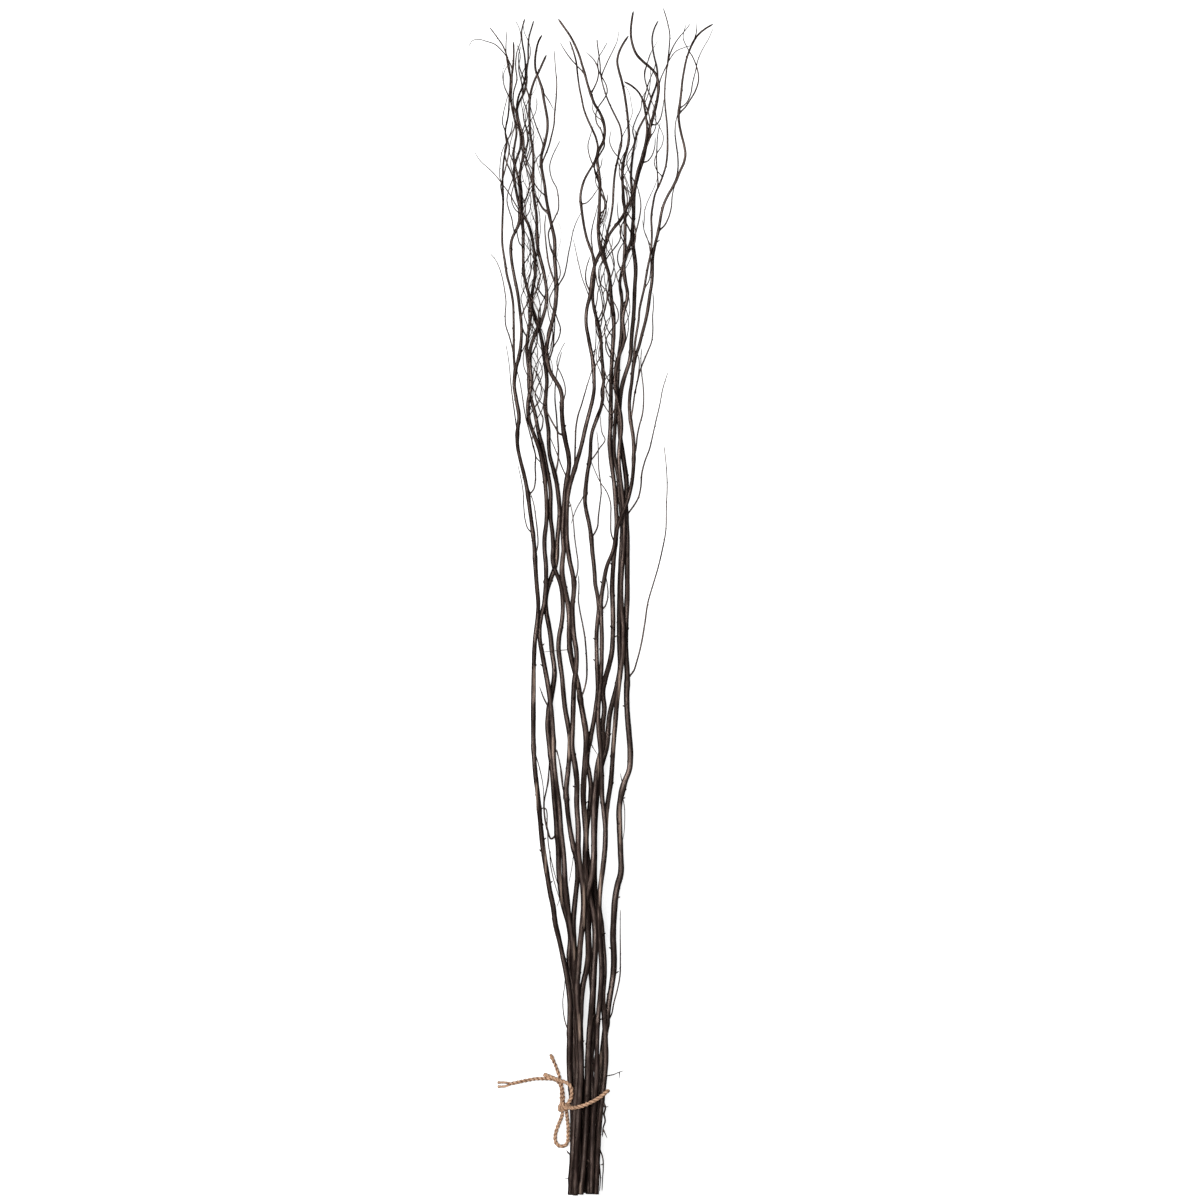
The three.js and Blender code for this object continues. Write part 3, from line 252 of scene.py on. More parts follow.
# across, up and along at every point, carried along the line without a twist
def framesAlong(centres):
    along = np.gradient(centres, axis=0)
    along /= np.linalg.norm(along, axis=1)[:, None]
    ups = np.empty_like(centres)
    up = np.array([0.0, 0.0, 1.0])
    for i, way in enumerate(along):
        up = up - way * up.dot(way)
        up /= np.linalg.norm(up)
        ups[i] = up
    return np.cross(ups, along), ups, along


def roundAngles(sides):
    return fullTurn * np.arange(sides + 1) / sides


def placesOf(mesh):
    flat = np.empty(len(mesh.vertices) * 3)
    mesh.vertices.foreach_get("co", flat)
    return flat.reshape(-1, 3)


# the tone is kept at half size: over a half it is a painted highlight on the bark's upper side; on the twine
# it holds painted shade between the plies
def mark(mesh, grain, tone):
    mesh.attributes.new("grain", "FLOAT_VECTOR", "POINT").data.foreach_set("vector", grain.ravel())
    mesh.attributes.new("tone", "FLOAT", "POINT").data.foreach_set("value", tone)


# a grid rolled into a strand: centres (n, 3), radii (n, sides + 1) and frames are for its n rows, in metres
def wrapGrid(name, centres, radii, grain, sides, frames, capRows=0):
    rows = len(centres)
    bpy.ops.object.select_all(action="DESELECT")
    bpy.ops.mesh.primitive_grid_add(x_subdivisions=sides, y_subdivisions=rows - 1, size=1)
    strand = bpy.context.object
    strand.name = name
    mesh = strand.data
    flat = placesOf(mesh)
    column = np.rint((flat[:, 0] + 0.5) * sides).astype(int) % sides
    row = np.rint((flat[:, 1] + 0.5) * (rows - 1)).astype(int)
    angle = fullTurn * column / sides
    across, up, _ = frames
    out = np.cos(angle)[:, None] * across[row] + np.sin(angle)[:, None] * up[row]
    place = centres[row] + out * radii[row, column][:, None]
    mesh.vertices.foreach_set("co", place.ravel())
    along, girth = grain["along"][row], grain["girth"][row]
    twist = angle + grain["twist"] * along
    vectors = np.column_stack([girth * np.cos(twist), girth * np.sin(twist), along])
    tone = np.full(len(flat), grain["tone"] / 2)
    # painted highlight: pale streaks only on the side of the stem that faces up
    for streak in grain.get("paintedHighlights", ()):
        tone = np.maximum(tone, paintedHighlightOf(streak, place, out))
    mark(mesh, vectors + grain["shift"], tone)
    if capRows:
        corners = np.empty(len(mesh.polygons) * 4, int)
        mesh.polygons.foreach_get("vertices", corners)
        capped = row[corners.reshape(-1, 4)].max(1) < capRows
        mesh.polygons.foreach_set("material_index", capped.astype(int))
    return strand


def joinUp(name, parts):
    bpy.ops.object.select_all(action="DESELECT")
    for part in parts:
        part.select_set(True)
    bpy.context.view_layer.objects.active = parts[0]
    if len(parts) > 1:
        bpy.ops.object.join()
    whole = bpy.context.object
    whole.name = name
    whole.data.name = name
    bpy.ops.object.mode_set(mode="EDIT")
    bpy.ops.mesh.select_all(action="SELECT")
    bpy.ops.mesh.remove_doubles(threshold=weldAt)
    bpy.ops.mesh.fill_holes(sides=0)
    bpy.ops.object.mode_set(mode="OBJECT")
    bpy.ops.object.shade_smooth()
    return whole


def settleIn(piece, node):
    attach(piece, body)
    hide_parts(node)


# small repeated things: one model each, two units long, copied to each place
def modelOf(make, shape, plan):
    bpy.ops.object.select_all(action="DESELECT")
    make()
    model = bpy.context.object
    for vertex in model.data.vertices:
        vertex.co = shape(plan, *vertex.co)
    points = placesOf(model.data)
    faces = [tuple(face.vertices) for face in model.data.polygons]
    bpy.data.objects.remove(model)
    return points, faces


# a place is its origin, the copy's three axes, the shift of its grain, and its tone
def copiesOf(name, model, places, material):
    points, faces = model
    origins, axes, shifts, tones = zip(*places)
    turned = [points @ each for each in axes]
    polys = [
        tuple(number * len(points) + i for i in face) for number in range(len(places)) for face in faces]
    mesh = bpy.data.meshes.new(name)
    mesh.from_pydata(np.concatenate([at + origin for at, origin in zip(turned, origins)]).tolist(), [], polys)
    grain = np.concatenate([at + shift for at, shift in zip(turned, shifts)])
    mark(mesh, grain, np.repeat(tones, len(points)) / 2)
    mesh.materials.append(material)
    copies = bpy.data.objects.new(name, mesh)
    bpy.context.collection.objects.link(copies)
    return copies


# the stems in the order they were laid, in layout millimetres; a twig is its thickness and its route
stemPlan = [
    {"name": "stem_02", "butt": 3.6, "tip": 0.9, "spring": 0, "curl": 0, "route": [
        (-8, 2), (-9, 40), (-10, 80), (-11, 120), (-12.5, 160), (-13, 200), (-13.3, 240), (-15, 265),
        (-18, 283), (-18.5, 302), (-17, 320), (-19.5, 341), (-25, 360), (-29, 382), (-31.5, 405), (-32, 430),
        (-34, 460), (-37.5, 500), (-40, 535), (-43.5, 565), (-45.7, 590), (-43, 612), (-39.5, 632),
        (-37, 655), (-40, 680), (-42, 700), (-44.5, 715), (-47.3, 730), (-48, 746), (-45.5, 760),
        (-41.5, 772), (-37, 784), (-34.3, 798), (-33.5, 818), (-31.5, 840), (-30.7, 858), (-32.5, 878),
        (-35, 895), (-39, 911), (-43, 926), (-44.3, 942), (-44.5, 957), (-47, 974), (-48.7, 988),
        (-47.7, 1003), (-46.5, 1019), (-48, 1035), (-50.5, 1053), (-52.5, 1068), (-56, 1083), (-61, 1096),
        (-64.7, 1110), (-65.3, 1125), (-63.5, 1139), (-61, 1153), (-61.5, 1170), (-63.5, 1188), (-66, 1203),
        (-70, 1216), (-76, 1227), (-81.5, 1241), (-85, 1257), (-87.5, 1272), (-87.5, 1286), (-84, 1299),
        (-80, 1311), (-79.5, 1327), (-83.5, 1343), (-84.5, 1356), (-81, 1369), (-75, 1381), (-72, 1394),
        (-72, 1408), (-70, 1422), (-70, 1436), (-69, 1450), (-66, 1461), (-63, 1471)
    ], "twigs": [
        (1.2, [(-34, 452), (-41, 446), (-46, 458), (-49.5, 476), (-50, 492), (-46.5, 510), (-44.5, 527),
            (-43.5, 545)]),
        (1, [(-44, 609), (-50, 621), (-56, 637)]),
        (1.1, [(-36.5, 901), (-33, 917), (-32, 932), (-33, 948), (-33.7, 963), (-34.7, 978), (-36.3, 994),
            (-36, 1014), (-34, 1031), (-31, 1045), (-28, 1056)]),
        (1, [(-86.5, 1268), (-91.5, 1281), (-97, 1293), (-99.5, 1307), (-96, 1320), (-91, 1333),
            (-89, 1346)]),
        (0.8, [(-84.5, 1354), (-90, 1364), (-95, 1377), (-100.5, 1391), (-100.5, 1405), (-96, 1415)]),
        (0.8, [(-75, 1381), (-79, 1396), (-82, 1412), (-80, 1428), (-84, 1441)]),
    ]},
    {"name": "stem_04", "butt": 3.4, "tip": 0.9, "spring": 12, "curl": 3, "route": [
        (1, 3), (0, 50), (-1.5, 100), (-3, 150), (-4, 200), (-6, 240), (-9, 275), (-12, 310), (-13.5, 338),
        (-12, 361), (-9.8, 382), (-8, 400), (-8.8, 418), (-12, 432), (-15.5, 447), (-18.5, 465), (-21, 485),
        (-22.2, 509), (-20, 531), (-18.3, 552), (-17.8, 572), (-20.3, 590), (-23.8, 610), (-26, 630),
        (-27.7, 650), (-30.3, 669), (-32, 686), (-31, 700), (-28.5, 713), (-26.8, 728), (-26.8, 745),
        (-28.5, 760), (-31.8, 772), (-36.5, 783), (-39.3, 795), (-38.7, 812), (-39.5, 829), (-41.7, 846),
        (-42, 862), (-41.7, 879), (-43.7, 895), (-46.7, 911), (-49.5, 926), (-53, 940), (-56.5, 953),
        (-59, 966), (-61.5, 979), (-65, 992), (-68.3, 1005), (-69.2, 1020), (-69.2, 1033), (-70.5, 1046),
        (-71.7, 1059), (-70.5, 1073), (-68.5, 1087), (-66.7, 1101), (-67, 1116), (-69.5, 1129),
        (-72.5, 1140), (-75, 1152), (-76, 1168), (-76, 1186), (-76, 1204), (-77, 1222), (-78, 1240),
        (-78.3, 1258), (-80, 1272), (-79, 1286), (-76.5, 1299), (-75.5, 1312), (-76.5, 1326), (-80, 1339),
        (-83, 1351), (-84, 1363), (-81.5, 1376), (-77, 1387), (-73.5, 1399), (-73.3, 1412), (-74.5, 1427),
        (-77, 1441), (-78, 1456), (-74, 1472)
    ], "twigs": [
        (1.1, [(-22, 497), (-25.5, 507), (-28, 521), (-29.7, 537), (-34, 558)]),
        (0.9, [(-82.5, 1352), (-88, 1364), (-88, 1380), (-84, 1396), (-85.5, 1412), (-84, 1430), (-79, 1446),
            (-81, 1460), (-86, 1470)]),
        (0.8, [(-76.3, 1300), (-71, 1312), (-70, 1328), (-73.5, 1344), (-72, 1358)]),
    ]},
    {"name": "stem_10", "butt": 3.5, "tip": 0.9, "spring": 0, "curl": 0, "route": [
        (5.5, 2), (6.5, 50), (7.5, 100), (7, 150), (8.5, 200), (11, 240), (13, 280), (15, 320), (15.5, 350),
        (14, 375), (13, 400), (13.3, 430), (13.7, 460), (15.5, 490), (17.5, 511), (20, 530), (24.5, 546),
        (28.5, 561), (30, 580), (32, 600), (36.5, 620), (41.5, 640), (45, 660), (44.5, 680), (43.7, 700),
        (43.8, 730), (44.5, 760), (45.5, 790), (47, 815), (47.7, 840), (46, 860), (43.7, 880), (43, 896),
        (40.5, 911), (38, 926), (37.5, 941), (38.3, 956), (39.3, 970), (40, 985), (41.3, 1000), (41.7, 1013),
        (42.5, 1026), (43, 1040), (44, 1053), (45.5, 1066), (46.7, 1079), (47, 1092), (47, 1105),
        (47.5, 1118), (46.5, 1130), (44.8, 1141), (46.3, 1152), (49, 1163), (52, 1173), (55, 1183),
        (58.5, 1194), (60.7, 1206), (61.5, 1219), (61.5, 1233), (60.2, 1247), (59.7, 1261), (58.7, 1276),
        (59.7, 1291), (61.5, 1306), (64, 1320), (68, 1334), (73.5, 1345), (79, 1355), (82.3, 1367),
        (86, 1378), (90, 1389), (92, 1401), (91, 1413), (88, 1425), (86, 1437), (85.3, 1449), (88, 1461),
        (93, 1471)
    ], "twigs": [
        (0.8, [(80.5, 1360), (84, 1371), (79, 1387), (76, 1401), (78, 1413), (81.5, 1424), (86, 1436)]),
        (0.8, [(64, 1320), (61, 1333), (65, 1347), (71, 1360), (73, 1374), (79, 1385)]),
    ]},
    {"name": "stem_03", "butt": 3.5, "tip": 1.4, "spring": 20, "curl": 4, "route": [
        (-3.5, 2.5), (-5, 50), (-6.5, 100), (-8, 150), (-8.5, 200), (-9.5, 240), (-12, 280), (-15, 320),
        (-19, 350), (-21.2, 371), (-23.3, 390), (-25.7, 430), (-28.3, 452), (-32, 498), (-35.5, 522),
        (-38, 548), (-38.5, 572), (-40.3, 598), (-42.5, 620), (-45.5, 641), (-49, 660), (-52.5, 679),
        (-55.3, 695), (-55.5, 711), (-53.3, 726), (-50, 739), (-48.3, 754), (-47.5, 771), (-47.7, 790),
        (-49.3, 808), (-49.3, 823), (-47.3, 840), (-46.7, 861), (-47.7, 881), (-49.5, 899), (-52, 915),
        (-55, 930), (-59.5, 944), (-64.5, 957), (-68.5, 969), (-70, 982), (-69.5, 995), (-67, 1007),
        (-66, 1020), (-67, 1033), (-67.7, 1046), (-67.3, 1057), (-64.7, 1068), (-60.5, 1078), (-56, 1087),
        (-52, 1097), (-48.7, 1108), (-46.8, 1120), (-46.8, 1132), (-48.7, 1146), (-51, 1158), (-54, 1169),
        (-57, 1181), (-58.7, 1194), (-59, 1209), (-59.3, 1225), (-61.5, 1241), (-63.3, 1256), (-63.6, 1273),
        (-63.2, 1291), (-64, 1308), (-66.7, 1324), (-68, 1341), (-68.3, 1358), (-67.5, 1373), (-65, 1385),
        (-61, 1396), (-56.5, 1405), (-52, 1415), (-47, 1426)
    ], "twigs": [
        (1, [(-55.3, 1089), (-57, 1100), (-55, 1111), (-50.5, 1121), (-47.2, 1131)]),
        (1, [(-47, 1121), (-53.5, 1128), (-58, 1137), (-56, 1147), (-51.5, 1156)]),
        (0.9, [(-63.3, 1262), (-68, 1276), (-73, 1287), (-76, 1300), (-72, 1313), (-66, 1324)]),
        (1, [(-67.6, 1372), (-72, 1384), (-75.5, 1397), (-80, 1409), (-82, 1424), (-79, 1437)]),
    ]},
    {"name": "stem_07", "butt": 3.4, "tip": 1, "spring": 18, "curl": 4, "route": [
        (10, 3), (10.5, 40), (10.7, 80), (10.5, 120), (9, 150), (9.2, 172), (11, 195), (11.5, 222),
        (10.5, 252), (8, 290), (6, 330), (7, 362), (8.5, 388), (6, 413), (3.2, 435), (3.3, 456), (6, 478),
        (8, 498), (8.5, 514), (6.5, 528), (3.7, 541), (5, 557), (8, 572), (11.5, 590), (14.8, 610),
        (17.3, 630), (17, 650), (16.2, 666), (15.8, 683), (15.7, 701), (17, 719), (18.5, 736), (16.7, 751),
        (14, 765), (13.2, 778), (12, 792), (10.5, 805), (9.5, 819), (8, 831), (5.7, 844), (3, 856),
        (1.3, 868), (1.8, 881), (3, 894), (4.7, 907), (7, 919), (8, 931), (8.5, 944), (10.2, 955),
        (13.5, 965), (17.3, 975), (21, 985), (23.4, 997), (23.7, 1010), (24.7, 1022), (23.7, 1034),
        (22.5, 1047), (21.7, 1060), (21, 1072), (19, 1083), (16.3, 1094), (13.8, 1105), (11.5, 1116),
        (11, 1129), (12.3, 1142), (13, 1155), (12.8, 1167), (10.5, 1178), (7, 1187), (3.5, 1197),
        (0.7, 1209), (-1.5, 1222), (-3.2, 1235), (-4.5, 1248), (-2.5, 1261), (1.3, 1272), (6.3, 1281),
        (11.2, 1289), (15.3, 1299), (17.3, 1311), (14.8, 1323), (10, 1334), (4.5, 1346), (0, 1358),
        (-3, 1372), (-6, 1387), (-8, 1402), (-9.5, 1416), (-13, 1430), (-18, 1444)
    ], "twigs": [
        (1, [(9.3, 823), (13.5, 829), (16.7, 836), (18, 849), (20, 866), (21.5, 880), (20.5, 893),
            (18.5, 909), (18, 925), (17.5, 941), (16, 956)]),
        (0.7, [(1.6, 879), (-4, 869), (-9.5, 859), (-13, 850), (-16.5, 839)]),
        (0.9, [(7, 918), (13, 925), (19.5, 935), (26.3, 946), (23, 953), (21.3, 962), (20.5, 975)]),
        (0.9, [(17, 1091), (22.5, 1098), (26.3, 1108), (28.3, 1119), (28.5, 1131), (26, 1143), (25, 1156)]),
        (0.8, [(13.5, 1107), (16, 1118), (17.3, 1130), (20.5, 1141), (22.5, 1153)]),
        (0.9, [(12.7, 1171), (10.3, 1186), (9, 1200), (11, 1214), (14.7, 1228), (17.5, 1240)]),
        (0.8, [(-4, 1240), (2, 1241), (8.5, 1246.5), (14, 1254), (20, 1263)]),
    ]},
    {"name": "stem_01", "butt": 3.4, "tip": 1.1, "spring": 26, "curl": 4, "route": [
        (-14, 2), (-14.6, 40), (-14, 75), (-14.4, 105), (-16.5, 130), (-18, 150), (-18.2, 200), (-18.3, 250),
        (-21, 270), (-26.5, 299), (-31, 320), (-36, 341), (-38.5, 361), (-42.5, 380), (-46, 401),
        (-50.7, 430), (-54, 460), (-57.5, 499), (-61, 530), (-63, 560), (-63.3, 600), (-63.2, 630),
        (-62.8, 662), (-61, 698), (-58.3, 720), (-57.2, 740), (-59, 763), (-60.8, 789), (-62.3, 814),
        (-65, 838), (-68, 860), (-70.5, 879), (-74.5, 900), (-79.3, 919), (-83, 937), (-83.3, 954),
        (-81.2, 974), (-84.5, 995), (-87.2, 1014), (-85.3, 1033), (-81, 1050), (-78.5, 1069), (-78.3, 1089),
        (-80.3, 1108), (-83, 1129), (-87, 1149), (-90.3, 1168), (-91.5, 1184), (-90, 1196), (-86, 1205),
        (-81.7, 1214), (-80.3, 1228), (-80, 1243), (-80.3, 1258), (-82.5, 1273), (-86, 1287), (-88, 1301),
        (-86.3, 1315), (-84.3, 1328), (-86, 1342), (-89, 1355), (-91, 1369), (-90.5, 1385), (-90, 1400),
        (-88.3, 1415), (-87.7, 1429), (-88, 1442)
    ], "twigs": [
        (0.8, [(-18.3, 204), (-22.3, 213), (-25.3, 226), (-26.5, 243), (-24.5, 261), (-23.5, 275)]),
        (0.8, [(-64, 828), (-70, 834), (-73.3, 844), (-75.3, 862), (-76.3, 882), (-79.5, 900), (-83, 915)]),
        (0.9, [(-61.5, 798), (-57.7, 814), (-58.3, 831), (-60.3, 848), (-63, 866), (-69, 884)]),
        (1, [(-70, 876), (-63.7, 882), (-60.7, 895), (-61, 911), (-60.7, 926), (-64, 940), (-68, 955),
            (-72, 970), (-75, 985), (-77.3, 1001), (-80, 1017), (-84, 1033)]),
        (0.8, [(-83, 952), (-85.5, 969), (-88, 988), (-90.3, 1005), (-92, 1022), (-93.5, 1039),
            (-95.5, 1053), (-98, 1066)]),
        (1.6, [(-86, 1028), (-87.5, 1046), (-87.7, 1074), (-88, 1099), (-88.7, 1117), (-91.5, 1133),
            (-96, 1150), (-99, 1169), (-102, 1189), (-102, 1216), (-101, 1245), (-101.7, 1273),
            (-99.7, 1299), (-96.7, 1314), (-98.3, 1330), (-94.7, 1351), (-93.3, 1375), (-92.3, 1401),
            (-95, 1420), (-101, 1437), (-109, 1449), (-118, 1461)]),
        (0.9, [(-87.7, 1048), (-90, 1062), (-93.5, 1075), (-97.7, 1088), (-98.5, 1102), (-97.5, 1117),
            (-99, 1131), (-101.5, 1145), (-105, 1158), (-110.5, 1170), (-118, 1179)]),
        (0.8, [(-80.2, 1231), (-86, 1240), (-91, 1249), (-97, 1258), (-103, 1266), (-110.5, 1275.5),
            (-120, 1285), (-128.5, 1292.5), (-137, 1305)]),
        (0.8, [(-89, 1408), (-97, 1424), (-103.5, 1432), (-111.5, 1439), (-121.5, 1442.5), (-132, 1445),
            (-139, 1443.5), (-144, 1436)]),
        (0.9, [(-90.3, 1391), (-94.3, 1407), (-97, 1424), (-97.3, 1441), (-96, 1457)]),
    ]},
    {"name": "stem_05", "butt": 3.9, "tip": 1.3, "spring": 34, "curl": 5, "route": [
        (-4.5, 2.5), (-2.7, 20), (0, 46), (2, 76), (3.2, 104), (4.5, 140), (5.5, 180), (8, 220), (10.3, 246),
        (12.5, 286), (14.3, 315), (14, 336), (11.5, 355), (7.5, 372), (4, 388), (2, 405), (1.8, 429),
        (2.3, 450), (0.3, 480), (-0.9, 500), (-0.3, 521), (1.2, 541), (2.5, 560), (2.2, 580), (-1, 600),
        (-4.5, 620), (-7, 638), (-11, 654), (-15, 669), (-17.7, 684), (-18.5, 701), (-18.3, 720),
        (-19.7, 738), (-22.7, 753), (-25.7, 767), (-27.5, 781), (-26.7, 795), (-25.3, 808), (-26, 822),
        (-26.3, 837), (-25.3, 852), (-24.5, 868), (-23.3, 884), (-20.7, 899), (-18.7, 912), (-19.3, 926),
        (-22.3, 940), (-25, 954), (-27, 969), (-27.8, 986), (-27.7, 1000), (-30.3, 1010), (-35, 1018),
        (-40, 1026), (-44, 1035), (-46.3, 1046), (-46.7, 1057), (-45.3, 1068), (-42.7, 1080), (-39.7, 1092),
        (-37, 1104), (-35.3, 1117), (-34.5, 1131), (-34.8, 1146), (-35.7, 1160), (-36.7, 1173),
        (-36.3, 1186), (-37.3, 1199), (-40, 1211), (-42.7, 1223), (-45.3, 1236), (-47.5, 1249), (-49, 1262),
        (-51.3, 1275), (-53.3, 1287), (-53.3, 1298), (-51, 1308), (-48, 1319), (-45.7, 1331), (-45.5, 1343),
        (-47.5, 1356), (-50, 1369), (-52, 1382), (-56, 1394), (-60, 1405), (-61, 1418), (-59.5, 1431),
        (-56.7, 1442), (-52.5, 1450)
    ], "twigs": [
        (1.2, [(-5, 621), (0, 632), (3, 645), (3.6, 662), (2.7, 681), (1, 699), (-2, 716), (-5, 731),
            (-7, 746), (-6.3, 760), (-6.7, 776)]),
        (0.9, [(-21, 897), (-27.5, 911), (-33, 926), (-38, 938), (-43, 950)]),
        (1.2, [(-25.3, 951), (-31, 953), (-35.3, 960), (-40, 968), (-44.5, 977), (-49, 985)]),
        (1.1, [(-45.5, 1041), (-41.7, 1050), (-38.7, 1061), (-37.5, 1075), (-36.5, 1089), (-36.2, 1104)]),
        (0.9, [(-34.6, 1134), (-29.5, 1142), (-25, 1150), (-22, 1162), (-19.3, 1178), (-16.3, 1192),
            (-13.7, 1205), (-10, 1216), (-3.5, 1229)]),
        (1.2, [(-35.5, 1138), (-39.5, 1150), (-44, 1165), (-46.3, 1180), (-48, 1196), (-49, 1212),
            (-47.5, 1227)]),
        (1.4, [(-45, 1228), (-50.5, 1233), (-56, 1242), (-61, 1251), (-66, 1262)]),
        (1.1, [(-53, 1289), (-48.3, 1300), (-44, 1311), (-40.3, 1325), (-37.3, 1339), (-36.5, 1353),
            (-34.8, 1370), (-34, 1390), (-35.7, 1410), (-37, 1431)]),
        (0.9, [(-50, 1311), (-54, 1322), (-59.5, 1336), (-64, 1350), (-68, 1365)]),
        (0.8, [(-51.5, 1379), (-44, 1368), (-37.5, 1356)]),
    ]},
    {"name": "stem_09", "butt": 3.6, "tip": 1.3, "spring": 30, "curl": 4, "route": [
        (-17, 2), (-15.5, 30), (-13.5, 55), (-12, 80), (-11.5, 105), (-9.5, 130), (-8, 150), (-6.5, 172),
        (-5.2, 200), (-4.3, 226), (-3.3, 247), (-1.3, 264), (2.5, 281), (5.3, 299), (5, 320), (3.5, 344),
        (3.2, 367), (5.5, 383), (9.3, 397), (11.5, 416), (12.3, 441), (12, 470), (12.5, 490), (14, 508),
        (15.3, 524), (17.5, 541), (22, 558), (23.5, 589), (25.5, 610), (23.7, 630), (27.3, 649), (31, 662),
        (34.8, 680), (36, 700), (36, 738), (35.2, 760), (36, 780), (37.5, 800), (39.5, 819), (41, 840),
        (40, 860), (38.7, 880), (37, 897), (35, 911), (33, 926), (32.2, 941), (32.7, 956), (33.5, 971),
        (33.5, 986), (33.7, 1001), (33.8, 1016), (34.2, 1031), (35, 1046), (36, 1060), (36.7, 1073),
        (37.3, 1086), (36.7, 1100), (35.3, 1113), (33.8, 1126), (33, 1138), (31.5, 1150), (28.5, 1161),
        (24.7, 1171), (21, 1182), (18.7, 1195), (18, 1211), (19, 1228), (19.5, 1244), (20, 1259),
        (19.3, 1272), (17.7, 1285), (16.2, 1296), (18.5, 1307), (23.7, 1317), (26, 1329), (24, 1343),
        (19, 1355), (13.3, 1364), (9, 1375), (5, 1387), (1.5, 1400), (-2, 1412), (-6, 1425), (-11.5, 1438),
        (-18, 1450), (-25, 1460), (-32, 1470)
    ], "twigs": [
        (0.8, [(-13.9, 50), (-18, 53), (-22, 58)]),
        (0.9, [(39, 815), (34.3, 827), (33.5, 847), (33, 867), (28, 881), (20.5, 892), (14.3, 905),
            (9, 918)]),
        (0.9, [(35.2, 1049), (30, 1062), (26.5, 1075), (26, 1086), (29, 1094), (35, 1101)]),
        (1.5, [(24.5, 1171), (26, 1187), (29, 1203), (33, 1220), (36, 1240), (37, 1260), (39, 1280),
            (43, 1299), (46.5, 1313), (47, 1325), (45, 1337), (40, 1348), (34, 1360), (28.5, 1373),
            (24, 1387), (21, 1401), (20, 1415), (18, 1430), (16, 1445)]),
        (0.8, [(21.3, 1399), (26, 1410), (31, 1421), (37, 1433), (42, 1445), (43, 1456)]),
        (0.9, [(26, 1168), (32, 1177), (38.5, 1185), (44.5, 1194), (46, 1206), (43.5, 1218), (42, 1231),
            (42.5, 1243)]),
        (1, [(19, 1226), (25, 1232), (28.5, 1242), (30, 1253)]),
        (0.9, [(19.5, 1267), (15, 1279), (10.5, 1290), (6.5, 1301), (5, 1313), (8, 1325), (12, 1337)]),
        (1, [(8.3, 1377), (13, 1385), (17, 1395), (18, 1406), (14.5, 1416), (3, 1429)]),
        (0.9, [(0.8, 1402), (-8, 1411), (-17, 1421), (-24, 1431), (-30.5, 1442)]),
        (0.8, [(23.7, 1343), (15.5, 1349), (11, 1357), (10, 1367)]),
    ]},
    {"name": "stem_12", "butt": 3.9, "tip": 1.4, "spring": 38, "curl": 5, "route": [
        (12.7, 3), (13.5, 40), (15, 70), (17, 100), (18.7, 130), (20.5, 150), (22.3, 170), (25, 194),
        (28.3, 218), (31, 241), (34.5, 262), (37, 281), (37.3, 301), (36.3, 322), (37.3, 349), (39, 371),
        (42, 388), (45.7, 401), (45.7, 430), (44.3, 462), (44, 485), (46.5, 501), (51, 518), (56.5, 532),
        (58, 552), (56.3, 578), (54.3, 600), (53.3, 624), (54, 650), (52.7, 676), (52.2, 703), (53, 727),
        (54, 752), (54, 780), (54, 808), (53.7, 832), (52.7, 852), (52.3, 872), (53.3, 889), (52, 903),
        (50, 916), (48, 930), (45.7, 945), (44.5, 960), (44, 978), (45, 994), (46.7, 1008), (49.5, 1020),
        (53, 1031), (56.3, 1041), (58.5, 1053), (59, 1066), (60, 1080), (61.5, 1095), (62.5, 1110),
        (63, 1125), (63.7, 1140), (64.6, 1153), (64.3, 1164), (63, 1175), (61.3, 1187), (60.3, 1200),
        (61, 1214), (62, 1229), (62.2, 1243), (63.3, 1256), (65.7, 1267), (68.5, 1278), (72, 1289),
        (75.3, 1300), (77.3, 1312), (80, 1324), (82.5, 1335), (85.7, 1346), (89, 1358), (91.7, 1371),
        (93, 1385), (91, 1397), (86.5, 1405), (80, 1411), (73, 1417), (65.7, 1425), (60.7, 1437),
        (58.5, 1450), (59.3, 1465), (61.5, 1479)
    ], "twigs": [
        (1.1, [(15.3, 77), (18.5, 63), (18, 50), (19.5, 37), (20.5, 22), (19.5, 6)]),
        (0.8, [(20.5, 149), (30, 150.5), (37, 152), (43, 154.5), (50, 157)]),
        (1, [(28, 215), (34, 226), (37.5, 242), (41.5, 257), (44.7, 273), (45.5, 300), (45.3, 330),
            (45.5, 358)]),
        (1.1, [(54, 640), (57.5, 650), (62, 656), (66, 668), (71, 687), (76, 715), (80, 742), (86, 763),
            (92, 783), (98, 808), (102, 829), (103, 860), (104, 890), (102.5, 917), (100, 938)]),
        (1.1, [(52.7, 850), (58, 857), (63, 864), (68, 873), (71, 886), (72.3, 903), (76, 918), (82, 934),
            (86, 951), (90, 969), (94.5, 988), (98.5, 1009), (105, 1030)]),
        (1, [(60.7, 1192), (65.3, 1206), (69, 1221), (71, 1237), (69.5, 1250), (66, 1263)]),
        (0.9, [(72.5, 1291), (78.5, 1292), (84, 1298), (88, 1309), (89, 1323)]),
        (0.9, [(83.5, 1338), (90, 1338), (95, 1345), (98, 1357), (100, 1371)]),
        (0.8, [(93, 1385), (96.5, 1397), (101.5, 1408), (107.5, 1420), (114.5, 1429), (124, 1433.5),
            (136, 1437)]),
    ]},
    {"name": "stem_06", "butt": 3.7, "tip": 1.2, "spring": 46, "curl": 4, "route": [
        (-11, 2), (-10.5, 30), (-9, 70), (-7, 110), (-4.5, 150), (-5, 190), (-7.5, 230), (-9, 262),
        (-6.5, 290), (-5, 312), (-2.5, 335), (-0.5, 358), (-1, 383), (-4.3, 408), (-7, 434), (-7.2, 460),
        (-9, 490), (-9, 520), (-11.5, 541), (-14.7, 560), (-14, 590), (-13.2, 619), (-12, 644), (-9.7, 661),
        (-9.5, 680), (-12.5, 700), (-14, 718), (-14.5, 738), (-12.8, 754), (-12.5, 767), (-14.7, 780),
        (-17.7, 793), (-19.7, 806), (-21.3, 821), (-21.7, 840), (-21.3, 858), (-20.3, 874), (-17.7, 888),
